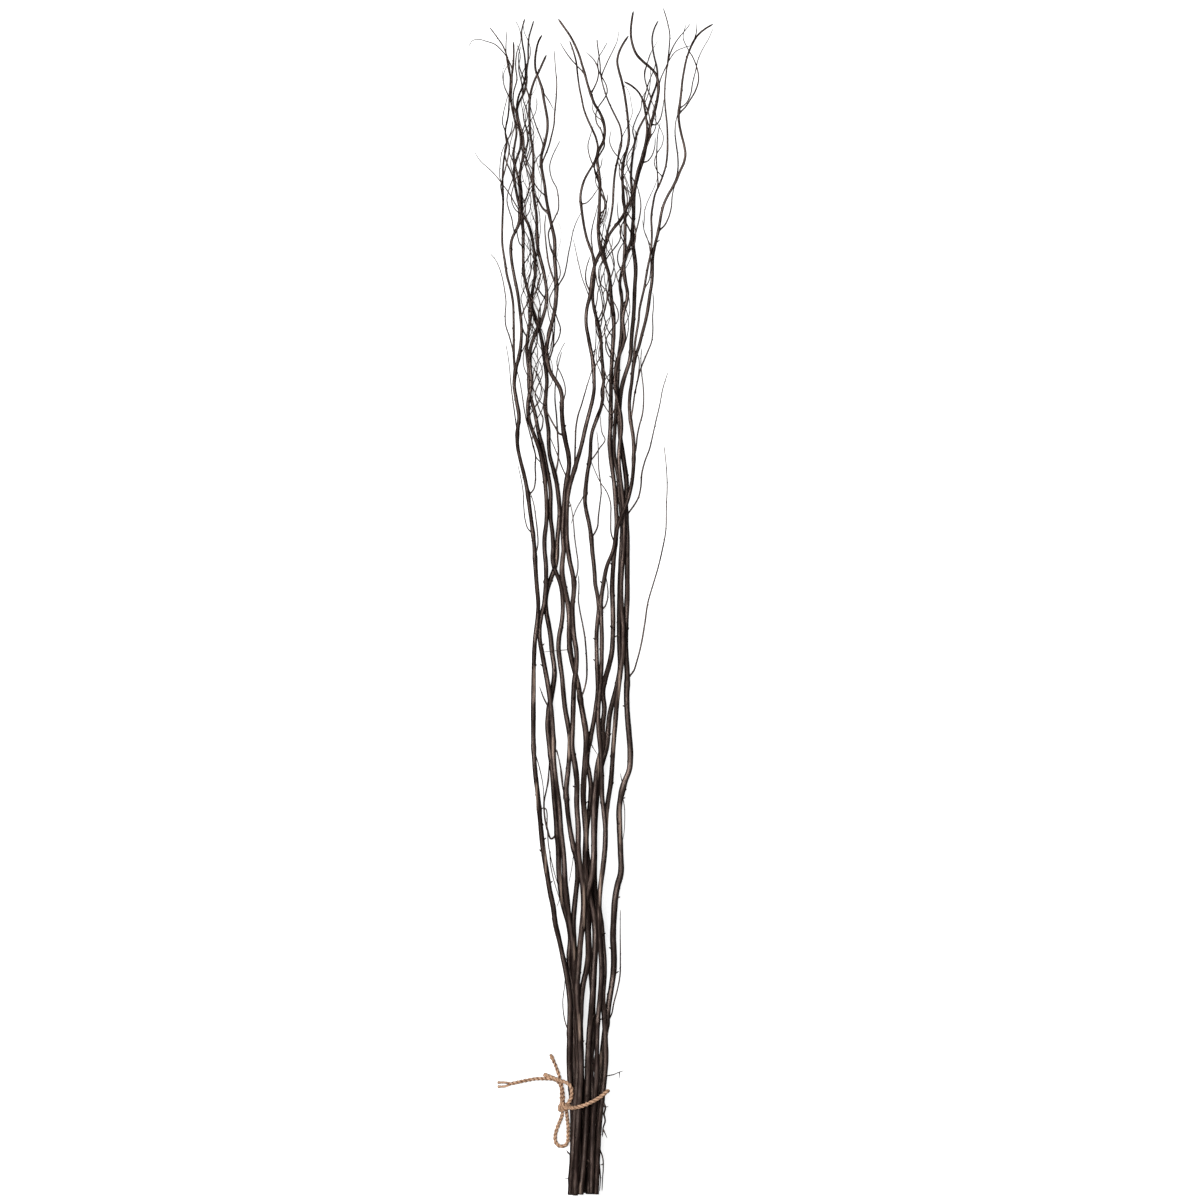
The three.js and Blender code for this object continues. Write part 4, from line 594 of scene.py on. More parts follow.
        (-14.3, 900), (-11, 911), (-7.7, 922), (-4.5, 933), (-1.5, 945), (1.3, 958), (4.3, 970), (7.7, 983),
        (10.7, 995), (12.7, 1008), (12.6, 1021), (12, 1034), (10.3, 1048), (7.7, 1061), (5.3, 1074),
        (3, 1087), (2.7, 1100), (4.3, 1112), (7.5, 1124), (9, 1137), (10.5, 1150), (13, 1161), (17, 1171),
        (22.5, 1180), (27.5, 1190), (31.3, 1200), (36.5, 1208), (42.3, 1215), (47.5, 1222), (51.5, 1230),
        (55.5, 1238), (59.3, 1247), (62, 1258), (64.5, 1269), (67, 1280), (70.5, 1291), (74, 1302),
        (76.7, 1314), (78.5, 1327), (78, 1341), (76, 1355), (73.3, 1368), (67, 1379), (59, 1386), (50, 1391)
    ], "twigs": [
        (0.9, [(-12.6, 766), (-8.5, 778), (-7.5, 791), (-9.5, 807), (-11.5, 822), (-13, 840), (-15, 856),
            (-19.5, 873)]),
        (1.2, [(-12, 908), (-11.3, 925), (-10.7, 944), (-10, 960), (-7.5, 975), (-3, 989), (0.5, 1001),
            (4, 1013), (8, 1026), (11.7, 1040)]),
        (0.8, [(11.3, 1041), (14.3, 1060), (15, 1076), (14.5, 1090)]),
        (0.7, [(7, 1122), (3, 1133), (-2, 1146), (-6, 1162), (-10, 1180), (-13.5, 1196)]),
        (1, [(8.3, 1130), (3.7, 1138), (2, 1150), (4, 1163), (8.3, 1175)]),
    ]},
    {"name": "stem_11", "butt": 3.4, "tip": 1.4, "spring": 44, "curl": 4, "route": [
        (15.5, 3.5), (17, 50), (19, 90), (22.3, 120), (25.3, 145), (27.3, 170), (27, 195), (25.3, 221),
        (23.5, 250), (25.3, 276), (25, 300), (23.3, 321), (21.7, 341), (18.9, 361), (19.8, 380), (22.3, 400),
        (24.9, 420), (26.5, 440), (27, 461), (28.2, 480), (30.3, 496), (33.3, 515), (35, 535), (36.5, 560),
        (38.7, 586), (40.7, 611), (43, 634), (46, 657), (48.3, 681), (49, 705), (47.5, 731), (46.5, 757),
        (47.7, 785), (49.7, 813), (50.3, 840), (49.3, 861), (47.3, 881), (45, 899), (43.7, 915), (43.8, 930),
        (45.3, 945), (46.7, 960), (46, 974), (43.3, 988), (40.5, 1001), (38.7, 1015), (39.3, 1029),
        (41, 1041), (44.5, 1052), (48, 1061), (50.5, 1071), (49.5, 1083), (48.3, 1095), (50, 1106),
        (53, 1116), (54.3, 1128), (52.3, 1139), (50.5, 1150), (50, 1161), (50.3, 1174), (51, 1190),
        (51.3, 1209), (51, 1228), (49.5, 1245), (48.3, 1262), (48, 1280), (50, 1294), (53.5, 1306),
        (56, 1320), (55.3, 1336), (54, 1351), (52, 1366), (49.7, 1380), (47, 1392), (43.7, 1404),
        (41.5, 1416), (44, 1428), (49.5, 1439), (55.5, 1448)
    ], "twigs": [
        (1, [(50.4, 1148), (46, 1157), (42.3, 1167), (42.7, 1178), (46.3, 1186), (51, 1193)]),
        (0.8, [(48.3, 1285), (43.5, 1296), (37, 1304), (32, 1316), (34, 1331)]),
    ]},
    {"name": "stem_08", "butt": 3.2, "tip": 1.2, "spring": 30, "curl": 4, "route": [
        (9, 4), (10, 60), (12.3, 100), (14.3, 130), (16, 160), (16.3, 190), (17.3, 220), (20, 250),
        (21.7, 280), (20.7, 310), (19, 345), (20, 378), (23.3, 410), (26, 438), (26.5, 460), (24.7, 480),
        (22.7, 500), (22.3, 530), (20.3, 560), (18.2, 584), (17.7, 605), (19.5, 628), (21.3, 650),
        (22.2, 676), (22.3, 700), (21.7, 720), (21, 738), (22.3, 753), (24.7, 767), (27, 780), (30, 791),
        (34, 800), (37.3, 810), (39.5, 821), (41.3, 833), (44.3, 844), (49, 855), (53.7, 867), (57.3, 880),
        (60, 893), (61.5, 907), (62.2, 922), (62.2, 936), (61.3, 950), (59, 964), (57.2, 977), (56.7, 991),
        (57.7, 1004), (59.5, 1016), (60.7, 1029), (62.3, 1041), (65, 1051), (69, 1063), (72.3, 1076),
        (75.5, 1088), (78.3, 1100), (80.5, 1113), (82.3, 1126), (84.3, 1138), (85.5, 1151), (85.7, 1165),
        (86.5, 1178), (89.3, 1191), (92.3, 1203), (94.5, 1215), (96.7, 1228), (99.7, 1239), (104.7, 1250),
        (110.5, 1260), (115.7, 1270), (120.3, 1281), (124.7, 1291), (126.5, 1301), (125, 1312),
        (121.7, 1325), (119, 1338), (118, 1350), (119.7, 1364), (121.3, 1378), (122.7, 1392), (125, 1406),
        (128, 1420), (132.3, 1432), (137, 1442), (142.7, 1450), (151, 1457), (161, 1463)
    ], "twigs": [
        (1, [(21.3, 733), (25.5, 736), (28.7, 743), (30, 753), (29, 765), (27, 777)]),
        (1.1, [(58, 969), (61, 985), (63, 1000), (66, 1015), (68.5, 1030), (69, 1043), (66, 1056)]),
        (1, [(62, 921), (65, 934), (66.3, 948), (69, 962), (73, 977), (74.5, 993), (74, 1011), (72, 1028),
            (71, 1044), (72, 1059)]),
        (1, [(63.3, 1003), (67, 1019), (71, 1034), (75.3, 1045), (80, 1056), (84.3, 1067), (86, 1081),
            (85.7, 1099), (87, 1114), (86, 1129)]),
        (1.5, [(62.3, 1042), (63, 1057), (64.3, 1070), (66.3, 1082), (68.3, 1094), (69.3, 1107), (72, 1120),
            (75, 1133), (77.3, 1147), (80, 1162), (83, 1177), (84.5, 1192), (84.7, 1206), (84, 1221),
            (86, 1238), (89, 1252), (94, 1263), (98, 1273), (102, 1286), (104, 1301), (104.3, 1318),
            (103.7, 1337), (102, 1354), (100.7, 1370), (101, 1386), (102.5, 1401), (104.5, 1417),
            (106.3, 1434), (107, 1450), (104, 1466), (99, 1483)]),
        (0.9, [(92.5, 1260), (91.7, 1276), (90.5, 1292), (91, 1309), (92, 1325), (95.3, 1341)]),
        (0.9, [(103.5, 1410), (107.5, 1426), (113, 1438), (120, 1448), (127, 1456), (133, 1464)]),
        (0.7, [(86.7, 1181), (81, 1192), (75.5, 1205), (73, 1220)]),
        (1, [(93, 1206), (100, 1212), (105, 1221), (109, 1235), (110.3, 1250), (114.5, 1267)]),
        (1, [(115.3, 1268), (117.3, 1283), (117, 1300), (115, 1315), (113.7, 1330), (115, 1344),
            (118.5, 1356)]),
        (1, [(118.3, 1352), (125, 1358), (132, 1368), (139, 1380), (143, 1394), (141, 1408), (136, 1421),
            (129, 1433), (123.7, 1446), (127, 1462)]),
        (0.8, [(119, 1358), (127, 1364), (133, 1376), (135.5, 1390), (139, 1404), (142, 1418), (148, 1432),
            (155.5, 1445), (161, 1458)]),
        (0.8, [(136.3, 1440), (140, 1452), (141, 1466)]),
    ]},
]

# the turn's line over the stems is a parabola in x; a ply's fibres and unevenness are waves
tiePlan = {
    "thick": 4.5, "fit": 0.3, "slant": 1.2, "line": (114.8, 0.36, 0.0075), "under": (-24, 33, 8.0),
    "knot": (-24, 111, 12), "ends": (0.5, 2.5), "turnFrom": 150, "turnBy": 12.5,
    "ply": 1.62, "offset": 0.95, "pitch": 10.5, "sides": 12, "step": 0.55, "closing": (0.45, 0.85),
    "fibres": [(0.05, 5, 1.9, 1), (0.03, 8, 2.3, 0)], "uneven": [(0.05, 0.9, 1, 1), (0.04, 2.1, 2, 0)],
    # the last pair on this line sets where the painted shade between the plies starts to fade and over what
    # distance
    "girth": 0.001, "twist": 700.0, "plyShift": 0.21, "shift": (0.37, 0.11), "paintedValleyShade": (1.4, 1.05),
    "chunks": 40, "opened": 1.02,
}

# laying: every stem settles on those already laid
layPlan = {
    "gap": 0.5, "near": 70, "stiffRadius": 700, "passes": 60, "walk": 2, "taper": 2,
    "spreadFrom": 450, "spreadTo": 1480, "spreadPower": 1.3, "curlLength": 170, "curlOnset": 3,
    "twigTip": 0.45, "twigRoot": 0.85, "rootRise": 0.5,
}
# a ring's columns: its place, its radius, and its length along the strand
xAt, yAt, zAt, rAt, sAt = range(5)


def ringsOf(route, butt, tip):
    route = np.array(route, float)
    lengths = np.concatenate([[0], np.cumsum(np.hypot(*np.diff(route, axis=0).T))])
    radii = butt + (tip - butt) * (lengths / lengths[-1]) ** layPlan["taper"]
    return np.column_stack([route, np.zeros(len(route)), radii, lengths])


def segmentsOf(rings):
    return np.hstack([rings[:-1, :sAt], rings[1:, :sAt]])


def allSegments():
    return np.vstack([segmentsOf(strand) for strands in bunch.values() for strand in strands])


def nearestOn(segments, x, y):
    a, b = segments[:, :sAt], segments[:, sAt:]
    dx, dy = (b - a)[:, xAt], (b - a)[:, yAt]
    t = ((x - a[:, xAt]) * dx + (y - a[:, yAt]) * dy) / (dx * dx + dy * dy)
    point = a + (b - a) * np.clip(t, 0, 1)[:, None]
    return point, np.hypot(point[:, xAt] - x, point[:, yAt] - y)


def rootOn(segments, x, y):
    points, away = nearestOn(segments, x, y)
    return points[away.argmin()]


def clearHeight(place, laid):
    near = laid[np.abs(laid[:, yAt] - place[yAt]) <= layPlan["near"]]
    if not len(near):
        return place[rAt]
    point, away = nearestOn(near, place[xAt], place[yAt])
    reach = point[:, rAt] + place[rAt] + layPlan["gap"]
    hit = away < reach
    if not hit.any():
        return place[rAt]
    lifted = point[hit, zAt] + np.sqrt(reach[hit] ** 2 - away[hit] ** 2)
    return max(place[rAt], lifted.max())


# the height that a strand needs at each ring, domed by its stiffness and bridged between its supports
def settle(rings, wish, laid, stiffRadius):
    need = np.maximum(rings[:, rAt], wish)
    for i in range(1, len(rings)):
        count = math.ceil((rings[i, sAt] - rings[i - 1, sAt]) / layPlan["walk"])
        for k in range(count + 1):
            place = rings[i - 1] + (rings[i] - rings[i - 1]) * k / count
            height = clearHeight(place, laid)
            need[i - 1] = max(need[i - 1], height)
            need[i] = max(need[i], height)
    s = rings[:, sAt]
    domed = (need[None] - (s[None] - s[:, None]) ** 2 / (2 * stiffRadius)).max(1)
    heights = domed.copy()
    share = (s[1:-1] - s[:-2]) / (s[2:] - s[:-2])
    for _ in range(layPlan["passes"]):
        for i in range(1, len(rings) - 1):
            bridge = heights[i - 1] + (heights[i + 1] - heights[i - 1]) * share[i - 1]
            heights[i] = max(domed[i], bridge)
    rings[:, zAt] = heights


def springAt(stem, y):
    share = np.maximum(0, (y - layPlan["spreadFrom"]) / (layPlan["spreadTo"] - layPlan["spreadFrom"]))
    wave = 0.5 - 0.5 * np.cos(fullTurn * y / layPlan["curlLength"] + stem["spring"])
    curl = stem["curl"] * np.minimum(1, layPlan["curlOnset"] * share) * wave
    return stem["spring"] * share ** layPlan["spreadPower"] + curl


def sinkRoot(rings, root):
    rings[0, zAt] = min(rings[0, zAt], root[zAt] + root[rAt] * layPlan["rootRise"])


def layStem(stem, laid):
    trunk = ringsOf(stem["route"], stem["butt"], stem["tip"])
    settle(trunk, trunk[:, rAt] + springAt(stem, trunk[:, yAt]), laid, layPlan["stiffRadius"])
    strands = [trunk]
    for thick, route in stem["twigs"]:
        rings = ringsOf(route, thick, thick * layPlan["twigTip"])
        root = rootOn(np.vstack([segmentsOf(strand) for strand in strands]), *rings[0, :zAt])
        rings[0, :zAt] = root[:zAt]
        rings[0, rAt] = min(rings[0, rAt], root[rAt] * layPlan["twigRoot"])
        settle(rings, root[zAt], laid, layPlan["stiffRadius"])
        sinkRoot(rings, root)
        strands.append(rings)
    return strands


def tieAt(x):
    level, lean, sag = tiePlan["line"]
    return level + lean * x + sag * x * x


def twineUnder():
    x = np.arange(*tiePlan["under"])
    half = np.full(len(x), tiePlan["thick"] / 2)
    return segmentsOf(np.column_stack([x, tieAt(x), half, half, x]))


def layBunch(stems):
    laid = twineUnder()
    bunch = {}
    for stem in stems:
        strands = layStem(stem, laid)
        laid = np.vstack([laid] + [segmentsOf(strand) for strand in strands])
        bunch[stem["name"]] = strands
    return bunch


bunch = layBunch(stemPlan)
print("stems laid:", len(bunch))


def ownerOf(x, y):
    gaps = {name: nearestOn(segmentsOf(strands[0]), x, y)[1].min() for name, strands in bunch.items()}
    return min(gaps, key=gaps.get)


# thin twiglets that fill the two crowns: each zone's x and y in layout millimetres, and how many grow in it
twigletPlan = {
    "zones": [
        ((-84, -47), (900, 1330), 34), ((-106, -80), (1090, 1330), 5), ((-50, -20), (960, 1230), 6),
        ((8, 42), (930, 1300), 17), ((40, 72), (1030, 1260), 9), ((70, 100), (1080, 1330), 5),
    ],
    "long": (70, 190), "thick": (0.6, 1.0), "root": 0.8, "tip": 0.5, "step": 11, "stride": (0.7, 1.2),
    "bend": (0.25, 0.6), "curl": (60, 130), "steer": 0.35, "wobble": 0.14, "stiffRadius": 260, "seed": 4,
}


def growTwiglet(plan, rnd, zone):
    (left, right), (low, high), _ = zone
    inside = [
        (name, ring) for name, strands in bunch.items() for strand in strands for ring in strand[2:-3]
        if left < ring[xAt] < right and low < ring[yAt] < high
    ]
    name, root = rnd.choice(inside)
    middle, half = (left + right) / 2, (right - left) / 2
    side = -1 if root[xAt] > middle + rnd.uniform(-half, half) else 1
    long, bend, curl = (rnd.uniform(*plan[key]) for key in ("long", "bend", "curl"))
    x, y = root[:zAt]
    route = [(x, y)]
    gone = 0
    while gone < long:
        steer = -plan["steer"] * max(-1, min(1, ((x - middle) / half) ** 3))
        wave = side * bend * math.cos(fullTurn * gone / curl)
        heading = wave + steer + rnd.uniform(-plan["wobble"], plan["wobble"])
        step = plan["step"] * rnd.uniform(*plan["stride"])
        x += step * math.sin(heading)
        y += step * math.cos(heading)
        route.append((x, y))
        gone += step
    thick = min(rnd.uniform(*plan["thick"]), root[rAt] * plan["root"])
    return name, ringsOf(route, thick, thick * plan["tip"]), root


def growTwiglets(plan):
    rnd = random.Random(plan["seed"])
    laid = allSegments()
    for zone in plan["zones"]:
        for _ in range(zone[-1]):
            name, rings, root = growTwiglet(plan, rnd, zone)
            settle(rings, root[zAt], laid, plan["stiffRadius"])
            sinkRoot(rings, root)
            bunch[name].append(rings)
            laid = np.vstack([laid, segmentsOf(rings)])


# wisps placed one by one: how thick each starts, and its route from the stem that it grows on
wispPlan = {
    "tip": 0.55, "fall": 0.35, "fallOver": 40, "stiffRadius": 260,
    "routes": [
        (0.5, [(44.4, 154), (44.6, 150), (44.4, 146.5)]),
        (1.0, [(19, 218), (17.5, 204), (16, 192), (14.5, 180), (12.5, 165), (13.5, 152), (16.5, 143)]),
        (0.75, [(24, 150), (22.5, 142), (21.5, 134), (22.5, 127)]),
        (1.2, [(24, 120), (26.5, 112), (25, 103), (26.5, 95), (24, 86), (23, 74)]),
        (0.7, [(24, 84), (26.5, 79), (29, 73)]), (0.6, [(25, 113), (28, 112.5), (31, 113.5)]),
        (0.9, [(22, 62), (23.5, 48), (24, 34), (23, 20), (22.5, 6)]),
        (0.5, [(23.5, 41), (21, 40), (19, 40.5)]),
        (0.65, [(-17.5, 50), (-20, 54), (-22, 58)]), (0.5, [(-18, 22), (-22, 22.5), (-25, 22)]),
        (0.65, [(-61, 560), (-55, 532), (-51.5, 514), (-50.6, 496), (-51, 486)]),
        (0.65, [(-41, 550), (-44, 530), (-44.5, 517), (-49, 500), (-51, 488)]),
        (0.75, [(-55, 483), (-50, 485), (-46, 459), (-44.5, 439), (-38, 407), (-32.6, 388)]),
        (0.6, [(-45, 430), (-42, 415), (-38, 395), (-33, 378), (-31, 371), (-34, 361)]),
        (0.6, [(-35, 567), (-31, 545), (-27.5, 527), (-26, 505), (-26, 494)]),
        (0.5, [(-10, 434), (-15, 412), (-19, 391)]), (0.6, [(10, 568), (13, 558), (17.5, 551)]),
        (0.6, [(48, 503), (50.5, 486), (51, 470), (50.3, 456), (48.5, 444)]),
        (0.65, [(48.5, 512), (46.8, 521), (45.6, 529)]), (0.5, [(-21, 682.5), (-36, 681.5), (-51, 680)]),
    ],
}


def placeWisps(plan):
    laid = allSegments()
    for thick, route in plan["routes"]:
        rings = ringsOf(route, thick, thick * plan["tip"])
        root = rootOn(laid, *route[0])
        settle(rings, root[zAt], laid, plan["stiffRadius"])
        laid = np.vstack([laid, segmentsOf(rings)])
        fall = plan["fall"] * np.minimum(1, rings[:, sAt] / plan["fallOver"])
        rings[:, zAt] = np.maximum(rings[:, zAt] * (1 - fall), rings[:, rAt])
        rings[0, :rAt] = root[:rAt]
        bunch[ownerOf(*route[0])].append(rings)


growTwiglets(twigletPlan)
placeWisps(wispPlan)
print("twiglets grown")


# stray fibres: thin bent prisms, scattered along a length of twine
fuzzPlan = {
    "sides": 3, "bend": 6, "first": (0, 2), "every": 2.2, "lean": (0.1, 0.45), "long": (0.7, 1.5),
    "thick": 0.055, "vary": (0.7, 1.3), "sunk": 0.3, "out": 0.8, "lowest": 0.0004, "shift": (0.3, 0.01),
}


def fuzzShape(plan, x, y, z):
    return x + plan["bend"] * ((z + 1) / 2) ** 2, y, z


fuzzModel = modelOf(
    lambda: bpy.ops.mesh.primitive_cylinder_add(
        vertices=fuzzPlan["sides"], radius=1, depth=2, end_fill_type="NGON"),
    fuzzShape, fuzzPlan)


def fuzzAlong(plan, line, frames, seed):
    rnd = random.Random(seed)
    across, up, along = frames
    whole = lengthsOf(line)[-1]
    places = []
    at = rnd.uniform(*plan["first"])
    while at < whole:
        i = min(int(at / whole * (len(line) - 1)), len(line) - 1)
        angle = rnd.uniform(0, fullTurn)
        out = math.cos(angle) * across[i] + math.sin(angle) * up[i]
        lean = rnd.uniform(-1, 1) * along[i] + out * rnd.uniform(*plan["lean"])
        lean /= np.linalg.norm(lean)
        side = np.cross(lean, out)
        side /= np.linalg.norm(side)
        long = rnd.uniform(*plan["long"])
        thin = plan["thick"] * rnd.uniform(*plan["vary"])
        axes = np.array([side * thin, np.cross(side, lean) * thin, lean * long]) * mm
        origin = inRow(line[i] + out * (tiePlan["thick"] / 2 - plan["sunk"]) + lean * long * plan["out"])
        if origin[2] > plan["lowest"]:
            seedShift, lengthShift = plan["shift"]
            places.append((origin, axes, (seed * seedShift, at * lengthShift, 0), 1.0))
        at += rnd.expovariate(1 / plan["every"])
    return places


# painted shade: darker where the two plies press together
def shadeValleys(plan, mesh, line):
    away = np.concatenate([
        np.linalg.norm(part[:, None] - line[None], axis=2).min(1)
        for part in np.array_split(placesOf(mesh), plan["chunks"])
    ])
    start, over = plan["paintedValleyShade"]
    out = np.clip((away / mm - start) / over, 0, 1)
    mesh.attributes["tone"].data.foreach_set("value", out / 2)


# how far the plies open and how much they thicken, by the length that is left to the end
def endWidths(look, left):
    widen = np.ones(len(left))
    thicker = np.full(len(left), look.get("girth", 1.0))
    if "opens" in look:
        by, start, over = look["opens"]
        widen += by * np.sin(math.pi / 2 * np.clip((start - left) / over, 0, 1))
    if "flares" in look:
        by, start, over = look["flares"]
        thicker += by * np.clip((start - left) / over, 0, 1)
    for by, at, wide in look.get("knobs", ()):
        thicker += by * np.exp(-((left - at) / wide) ** 2)
    return widen, thicker


# two plies twisted round a route in layout millimetres, with loose fibres; where they open they stop turning
def twistedTwine(name, route, seed, look):
    plan = tiePlan
    line = smoothLine(np.asarray(route, float), plan["step"])
    s = lengthsOf(line)
    frames = framesAlong(line)
    across, up, _ = frames
    widen, thicker = endWidths(look, s[-1] - s)
    turn = fullTurn * s / plan["pitch"]
    if "opens" in look:
        opening = turn[np.argmax(widen > plan["opened"])]
        level = math.pi * round(opening / math.pi)
        turn = np.minimum(turn * level / opening, level)
    parts = []
    theta = roundAngles(plan["sides"])[None]
    for ply in range(2):
        phase = turn + math.pi * ply
        away = (plan["offset"] * widen)[:, None]
        centres = inRow(line + away * (np.cos(phase)[:, None] * across + np.sin(phase)[:, None] * up))
        ridge = 1 + sum(
            deep * np.sin(count * theta - s[:, None] * lean + ply * share)
            for deep, count, lean, share in plan["fibres"])
        slow = 1 + sum(
            deep * np.sin(s * pace + seed * early + ply * share)
            for deep, pace, early, share in plan["uneven"])
        radii = plan["ply"] * ridge * (slow * thicker)[:, None]
        tight, loose = plan["closing"]
        radii[[0, -1]] *= tight
        radii[[1, -2]] *= loose
        first, last = plan["shift"]
        grain = {
            "girth": np.full(len(s), plan["girth"]), "along": s * mm, "twist": plan["twist"], "tone": 1.0,
            "shift": (seed * first, ply * plan["plyShift"], seed * last),
        }
        parts.append(wrapGrid(name, centres, radii * mm, grain, plan["sides"], framesAlong(centres)))
        parts[-1].data.materials.append(jute)
        shadeValleys(plan, parts[-1].data, inRow(line))
    fuzz = fuzzAlong(fuzzPlan, line, frames, seed)
    if fuzz:
        parts.append(copiesOf(name + "_fuzz", fuzzModel, fuzz, jute))
    return parts, inRow(line)


# the free loop and the three free ends, in layout millimetres
# opens and flares: how much, from what length left, and over what length; knobs: how much, where and how wide
twineEnds = [
    {"name": "loop", "far": "object",
     "route": [
        (-26.8, 104.3, 10), (-28, 98.5, 6.8), (-30.3, 92, 4.1), (-33, 85.5, 2.7), (-35.2, 78.5, 2.4),
        (-36.2, 71.5, 2.4), (-35, 65.2, 2.4), (-31.5, 61.4, 2.4), (-27, 60.8, 2.4), (-22.7, 62.6, 2.4),
        (-20.3, 67, 2.4), (-19.9, 73, 2.4), (-19.9, 80, 2.5), (-20, 86.5, 3.2), (-20.6, 92.5, 5),
        (-21.2, 98.5, 8), (-22, 104.3, 11.5)
    ]},
    {"name": "tail_long", "far": "bare", "opens": (1.7, 15, 8), "girth": 0.9, "flares": (0.3, 5, 4),
     "route": [
        (-28.3, 117.3, 9), (-28.3, 122, 6.8), (-28.2, 128, 4.8), (-28.6, 134, 3.3), (-30.7, 139.5, 2.5),
        (-34.7, 143.2, 2.4), (-40, 144.8, 2.4), (-50, 145.3, 2.4), (-60, 145.2, 2.4), (-70, 143.7, 2.4),
        (-80, 141.5, 2.4), (-90, 139.4, 2.4), (-100, 138.2, 2.4), (-108.5, 138, 2.4)
    ]},
    {"name": "tail_up", "far": "bare", "girth": 0.8, "knobs": [(0.34, 4.5, 3.4), (0.2, 24, 3)],
     "route": [
        (-25.7, 117.7, 13.8), (-25.7, 123, 12.2), (-26.3, 129, 10.8), (-27.3, 135, 9.5), (-28.7, 141, 8.1),
        (-30.3, 147, 6.9), (-32.3, 153, 5.3), (-34.5, 159, 3.7), (-37, 165, 2.7), (-39.7, 171, 2.4),
        (-42, 176, 2.4)
    ]},
    {"name": "tail_short", "far": "bare", "knobs": [(0.3, 2, 2.5)],
     "route": [
        (-20.5, 115.5, 17.8), (-18, 119, 20.2), (-16, 123.3, 21.4), (-15.3, 129, 21.8), (-15.7, 134, 21.6),
        (-18, 138.7, 20.5), (-22, 141.6, 18), (-27, 143.2, 14.7), (-32, 144.5, 11), (-37, 146.2, 7.8),
        (-42, 148.2, 5.7), (-46.5, 149.6, 3.6), (-50.5, 150.6, 2.4)
    ]},
]


def makeTwineEnds():
    for number, end in enumerate(twineEnds):
        name = "jute_" + end["name"]
        parts, line = twistedTwine(name, end["route"], number + 1, end)
        piece = joinUp(name, parts)
        settleIn(piece, "twine_" + end["name"])
        print(name, "is", round(lengthsOf(line)[-1] / mm), "mm long")


# the turn pulled tight: at each angle it clears the stem that stands out furthest
def turnPoints(plan):
    rounds = []
    for strands in bunch.values():
        trunk = strands[0]
        past = trunk[:, yAt] - tieAt(trunk[:, xAt])
        i = np.flatnonzero((past[:-1] <= 0) & (past[1:] > 0))[0]
        rounds.append(trunk[i] + (trunk[i + 1] - trunk[i]) * past[i] / (past[i] - past[i + 1]))
    x, y, z = plan["knot"]
    apart, high = plan["ends"]
    points = [(x, y + apart, z + high)]
    for degrees in np.arange(plan["turnFrom"], -plan["turnFrom"] - 0.1, -plan["turnBy"]):
        c, d = math.cos(math.radians(degrees)), math.sin(math.radians(degrees))
        outer = max(rounds, key=lambda r: r[xAt] * c + r[zAt] * d + r[rAt])
        away = outer[rAt] * plan["slant"] + plan["fit"] + plan["thick"] / 2
        over = outer[xAt] + away * c
        points.append((over, tieAt(over), outer[zAt] + away * d))
    points.append((x, y - apart, z - high))
    return points


knotStrands = [
    [(-29.4, 114.2, 8.6), (-29.2, 110.6, 12.2), (-26.2, 108.2, 15.2), (-22, 108.6, 16.2), (-18.8, 111, 14.6),
     (-17.8, 113.8, 11)],
    [(-28.6, 117, 9), (-27.6, 114, 13.4), (-24.4, 112.2, 16.6), (-20.6, 112.6, 17.4), (-17.9, 115, 14.6),
     (-18.4, 116.6, 10.6)],
    [(-26.4, 104.3, 10), (-26.9, 107.6, 11), (-26.6, 112, 11), (-25.7, 117.7, 13.5)],
    [(-22, 104.3, 11.5), (-22.1, 108, 12.6), (-24, 113, 12), (-28.3, 117.3, 9)],
    [(-20.5, 115.5, 17.5), (-21.4, 112.4, 16.2), (-22.4, 109, 12.6), (-24, 107, 9)],
    [(-26.6, 105.6, 8), (-29.7, 106.4, 9.6), (-30.9, 109.4, 10.4), (-29.6, 112.6, 10)],
]
wrapSeed, knotSeed = 7, 11


def makeWrap():
    parts = twistedTwine("jute_wrap", turnPoints(tiePlan), wrapSeed, {})[0]
    for number, strand in enumerate(knotStrands):
        parts += twistedTwine("jute_wrap", strand, knotSeed + number, {})[0]
    settleIn(joinUp("jute_wrap", parts), "twine_wrap")
    print("wrap and knot made")


makeTwineEnds()
makeWrap()


# painted highlight streaks on the upper side of the bark: place of each streak's middle and half its length
paintedHighlightPlan = {
    "wide": 1.2, "facing": 0.1, "least": 0.02,
    "streaks": [
        (-19, 561, 17), (18, 545, 26), (37, 575, 22), (-59.5, 498, 20), (-48, 424, 22), (-28.5, 392, 30),
        (3, 458, 28), (0, 364, 30), (45, 465, 27), (20, 388, 26), (30, 467, 18), (-39, 561, 14),
        (-5.6, 212, 18), (21, 171, 11), (-5, 9, 9), (44, 640, 26), (-62, 640, 24), (-35, 800, 24),
        (12, 690, 22), (31, 760, 26), (-60, 860, 22), (30, 900, 24), (-8, 640, 20), (9, 300, 18),
        (-12, 310, 16),
    ],
}


# the stem that is seen at a place from above
def topmost(x, y):
    found = []
    for name, strands in bunch.items():
        point, away = nearestOn(segmentsOf(strands[0]), x, y)
        i = away.argmin()
        if away[i] < point[i, rAt]:
            found.append((point[i, zAt], name))
    return max(found)[1] if found else ownerOf(x, y)


# how strongly a painted highlight streak lightens each vertex that faces up: over a half is lit, and 1 fully
# so
def paintedHighlightOf(streak, place, out):
    x, y, half = streak
    side = (place[:, 0] / mm + originAt[0] - x) / paintedHighlightPlan["wide"]
    end = (place[:, 1] / mm + originAt[1] - y) / half
    # painted highlight, kept to the side that faces up
    bare = np.exp(-side**2) * np.clip(1 - end**2, 0, 1) ** 0.5 * (out[:, 2] > paintedHighlightPlan["facing"])
    return np.where(bare > paintedHighlightPlan["least"], 0.5 + 0.5 * bare, 0)


# the stem that carries each painted highlight streak
paintedHighlightOwners = {streak: topmost(*streak[:2]) for streak in paintedHighlightPlan["streaks"]}

